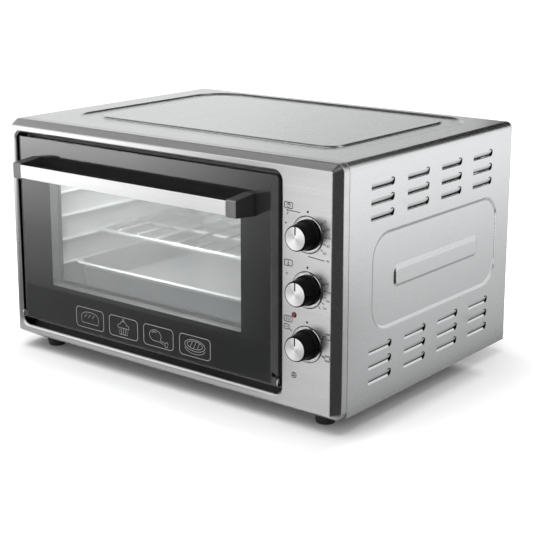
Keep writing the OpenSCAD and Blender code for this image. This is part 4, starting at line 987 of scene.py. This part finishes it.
def draw_loaf(line):
    half = [(17, -8), (18.5, -2), (18, 3), (14, 7.5), (7, 9.3)]
    line([(-x, z) for x, z in half] + [(0, 9.8)] + half[::-1], True)
    for x in (-9, -1, 7):
        line([(x - 2.4, 1), (x + 2.6, 6)])


def draw_cupcake(line):
    line([(-10, -1), (-7.5, -11), (7.5, -11), (10, -1)], True)
    for x in (-4.6, 0, 4.6):
        line([(x * 1.15, -1), (x * 0.85, -11)])
    line(arc(-7.5, 0.6, 4, 3.6, 70, 205) + [(-10, -1)])
    line(arc(7.5, 0.6, 4, 3.6, 110, -25) + [(10, -1)])
    line(arc(0, 3.6, 6.4, 5.6, 175, 5))
    line(ring_points(0, 11, 1.8, steps=14), True)


def draw_drumstick(line):
    line([(14.5, -7.5), (4, -4.6)] + arc(-6, 1, 11.5, 8.4, -32, 250, 26) + [(-5, -7), (3, -7), (13.4, -10.2)])
    line(arc(16.6, -7.2, 2.2, 2.2, -30, 200, 10))
    line(arc(15.4, -10.8, 2.2, 2.2, 170, 390, 10))
    line(arc(-7, 2, 6.5, 4.6, 60, 150, 8))


def draw_pie(line):
    line(ring_points(0, 1.6, 19, 8.6, 32), True)
    line(ring_points(0, 2.2, 14.4, 5.9, 28), True)
    line(arc(0, -2.4, 19, 8.6, 186, 354, 20))
    for x in (-7, 0, 7):
        reach = 5.4 * math.sqrt(1 - (x / 14.4) ** 2)
        line([(x - 2.6, 2.2 - reach), (x + 2.6, 2.2 + reach)])


def make_door_print():
    bm = bmesh.new()
    z, first, step = 56.5, -142.3, 70.3
    for i, draw in enumerate((draw_loaf, draw_cupcake, draw_drumstick, draw_pie)):
        x = first + step * i
        ink_line(bm, rounded_loop(x - 29, z - 15.5, x + 29, z + 15.5, 6.0, 5), 1.0, True)
        draw(lambda points, closed=False: ink_line(bm, [(x + px, z + pz) for px, pz in points], 0.8, closed))
    printed(bm, "door_print", door_ink, "door")


make_panel_print()
make_dial_lines()
make_door_print()

# Nodes whose own solids are shown
for node, solid in nodes.items():
    if not solid.hide_render:
        solid.data.materials.clear()
        solid.data.materials.append(slot_finish[slot_of[node]])


# Studio


def stage_sheet(name, corners, material):
    mesh = bpy.data.meshes.new(name)
    mesh.from_pydata([tuple(c) for c in corners], [], [range(len(corners))])
    mesh.materials.append(material)
    made = linked(name, mesh)
    return made


def seen_rays(tree):
    path = put(tree, "ShaderNodeLightPath").outputs
    direct = sums(tree, "MAXIMUM", path["Is Camera Ray"], path["Is Glossy Ray"])
    return sums(tree, "MAXIMUM", direct, path["Is Transmission Ray"])


def graded(tree, value, run):
    """Level that follows a value along places with a strength at each."""
    level = run[0][1]
    for (start, low), (end, high) in zip(run, run[1:]):
        level = sums(tree, "ADD", remap(tree, value, start, end, 0.0, high - low), level)
    return level


def floor_material():
    """Pale floor that runs out into the white of the background, with a painted shadow round the oven: its glow, seen
    by the camera, is weaker near the oven.
    """
    material, tree, shader = new_material(
        "pale_floor", Roughness=0.9, Specular_IOR_Level=0.1, Emission_Color=grey(1.0)
    )
    place = own_place(tree)
    tree.links.new(mixed(tree, noise(tree, place, 3.0), grey(0.80), grey(0.82)), shader.inputs["Base Color"])
    painted_shadow_centre, painted_shadow_half = (0.0, -0.071, 0.0), (0.317, 0.191, 1.0)
    past = vec(tree, "MAXIMUM", past_box(tree, place, painted_shadow_centre, painted_shadow_half))
    away = put(tree, "ShaderNodeVectorMath", {0: past}, operation="LENGTH").outputs["Value"]
    # Painted shadow: the glow is weaker near the oven's footprint
    glow = graded(tree, away, [(0.0, 0.03), (0.012, 0.1), (0.032, 0.3), (0.055, 0.3), (0.1, 0.36), (0.35, 0.7)])
    path = put(tree, "ShaderNodeLightPath").outputs
    tree.links.new(sums(tree, "MULTIPLY", path["Is Camera Ray"], glow), shader.inputs["Emission Strength"])
    return material


def card_material(name, stops):
    """Card whose light changes along its axes: for each axis, places in metres with a strength at each."""
    material, tree, shader = new_material(name)
    tree.nodes.remove(shader)
    split = axes(tree, own_place(tree))
    strength = 1.0
    for axis, run in stops.items():
        strength = sums(tree, "MULTIPLY", graded(tree, split[axis], run), strength)
    glow = put(tree, "ShaderNodeEmission", {"Strength": strength})
    tree.links.new(glow.outputs[0], tree.nodes["Material Output"].inputs["Surface"])
    return material


def reflected_card(name, corners, **stops):
    """Card that is seen only in glossy surfaces."""
    made = stage_sheet(name, corners, card_material(name, stops))
    for rays in ("camera", "diffuse", "transmission", "shadow", "volume_scatter"):
        setattr(made, "visible_" + rays, False)


def area_lamp(name, place, aim, size, power, glossy=False):
    lamp = bpy.data.lights.new(name, "AREA")
    lamp.shape = "RECTANGLE"
    lamp.size, lamp.size_y = size
    lamp.energy = power
    made = linked(name, lamp)
    made.location = place
    made.rotation_euler = (Vector(aim) - Vector(place)).to_track_quat("-Z", "Y").to_euler()
    made.visible_glossy = glossy


def lying(z, *corners):
    return [(x, y, z) for x, y in corners]


def flat(x0, y0, x1, y1, z):
    return lying(z, (x0, y0), (x1, y0), (x1, y1), (x0, y1))


def upright(x0, z0, x1, z1, y):
    return [(x0, y, z0), (x1, y, z0), (x1, y, z1), (x0, y, z1)]


def make_studio():
    stage_sheet("floor", flat(-14, -14, 14, 14, 0), floor_material())
    low, dark = 0.0006, [(0, 0.03)]
    # Painted shade in reflections: a sheet seen only in glossy surfaces, darker near the oven's side
    reflected_card(
        "side_floor", flat(0.315, -0.25, 4.0, 5.0, low),
        X=[(0.33, 0.25), (0.37, 0.48), (0.45, 0.62), (0.62, 0.7), (0.8, 0.86), (1.2, 1.3)]
    )
    reflected_card(
        "right_floor",
        lying(2 * low, (0.315, -1.2), (1.4, -1.2), (1.4, 0.32), (0.72, 0.32), (0.5, 0.0), (0.315, -0.25)),
        X=[(0.32, 0.025), (1.4, 0.04)]
    )
    reflected_card(
        "right_flag", [(1.4, -1.2, 0), (1.4, 0.32, 0), (1.4, 0.32, 1.5), (1.4, -1.2, 1.5)],
        Z=[(0.0, 0.025), (1.1, 0.05)]
    )
    reflected_card("rear_flag", upright(-0.12, 0.5, 1.0, 1.6, 0.95), X=[(-0.1, 0.03), (0.95, 0.02)])
    reflected_card("left_rear_flag", upright(-0.8, 0.9, -0.12, 1.8, 0.95), X=dark)
    reflected_card(
        "rear_card", upright(-4.0, 0.0, 0.1, 1.3, 2.0),
        X=[(-2.9, 1.05), (-1.6, 1.0), (-0.8, 0.68)], Z=[(0.7, 1.0), (1.0, 0.88)]
    )
    reflected_card("upper_card", flat(-2.1, -0.12, -0.2, 0.26, 1.5), X=[(-1.7, 0.6), (-0.5, 0.46)])
    reflected_card("upper_front_flag", flat(-2.1, -0.48, -0.2, -0.12, 1.5), X=dark)
    reflected_card("upper_rear_flag", flat(-2.1, 0.26, -0.2, 1.2, 1.5), X=dark)
    reflected_card("zenith_flag", flat(-0.2, -0.48, 1.4, 0.4, 1.5), X=dark)
    reflected_card(
        "door_card", upright(-0.68, 0.0, 0.012, 0.34, -0.46),
        Z=[(0.0, 0.11), (0.11, 0.25), (0.2, 0.53), (0.28, 1.0)], X=[(-0.58, 2.4), (-0.3, 1.8), (0.0, 0.45)]
    )
    reflected_card(
        "door_floor", lying(low, (-0.68, -0.46), (0.012, -0.46), (0.135, -0.305), (-0.58, -0.305)),
        X=[(-0.58, 0.16), (0.0, 0.03)]
    )
    reflected_card(
        "rim_floor", lying(low, (-0.58, -0.305), (0.135, -0.305), (0.206, -0.216), (-0.5, -0.216)),
        Y=[(-0.3, 1.0), (-0.28, 0.8), (-0.25, 0.4)]
    )
    reflected_card(
        "panel_floor", lying(low, (0.012, -0.46), (0.315, -0.46), (0.315, -0.216), (0.206, -0.216)),
        Y=[(-0.46, 0.85), (-0.25, 0.72)]
    )
    reflected_card("front_floor", flat(-3.0, -4.0, 0.315, -0.46, low), Y=[(-1.5, 1.15), (-0.9, 1.08), (-0.46, 0.85)])
    area_lamp("key", (-0.4, -0.6, 2.4), (0, 0, 0.1), (2.4, 2.4), 75)
    area_lamp("fill", (1.6, -1.6, 1.5), (0, 0, 0.2), (1.4, 1.4), 10)
    area_lamp("cavity_glow", at(-186.5, 190, 305), at(-186.5, 190, 46), (0.2, 0.28), 1.2, True)
    world = bpy.data.worlds.new("studio")
    world.use_nodes = True
    bpy.context.scene.world = world
    tree = world.node_tree
    backdrop = tree.nodes["Background"]
    backdrop.inputs["Color"].default_value = grey(1.0)
    tree.links.new(remap(tree, seen_rays(tree), 0.0, 1.0, 0.4, 1.0), backdrop.inputs["Strength"])


def make_camera():
    """The photograph's viewpoint, with its width and focal length in pixels."""
    picture, focal, sensor = 533.0, 1312.66, 36.0
    turn, rise = math.radians(38.512), math.radians(12.9843)
    lens = bpy.data.cameras.new("camera")
    lens.sensor_width = sensor
    lens.lens = focal * sensor / picture
    lens.shift_y = -0.1
    made = linked("camera", lens)
    back = Vector((math.cos(rise) * math.sin(turn), -math.cos(rise) * math.cos(turn), math.sin(rise)))
    made.location = (1.2446, -1.5264, 0.6762)
    made.rotation_euler = (-back).to_track_quat("-Z", "Y").to_euler()
    bpy.context.scene.camera = made


make_studio()
make_camera()
bpy.context.scene.view_settings.view_transform = "Standard"
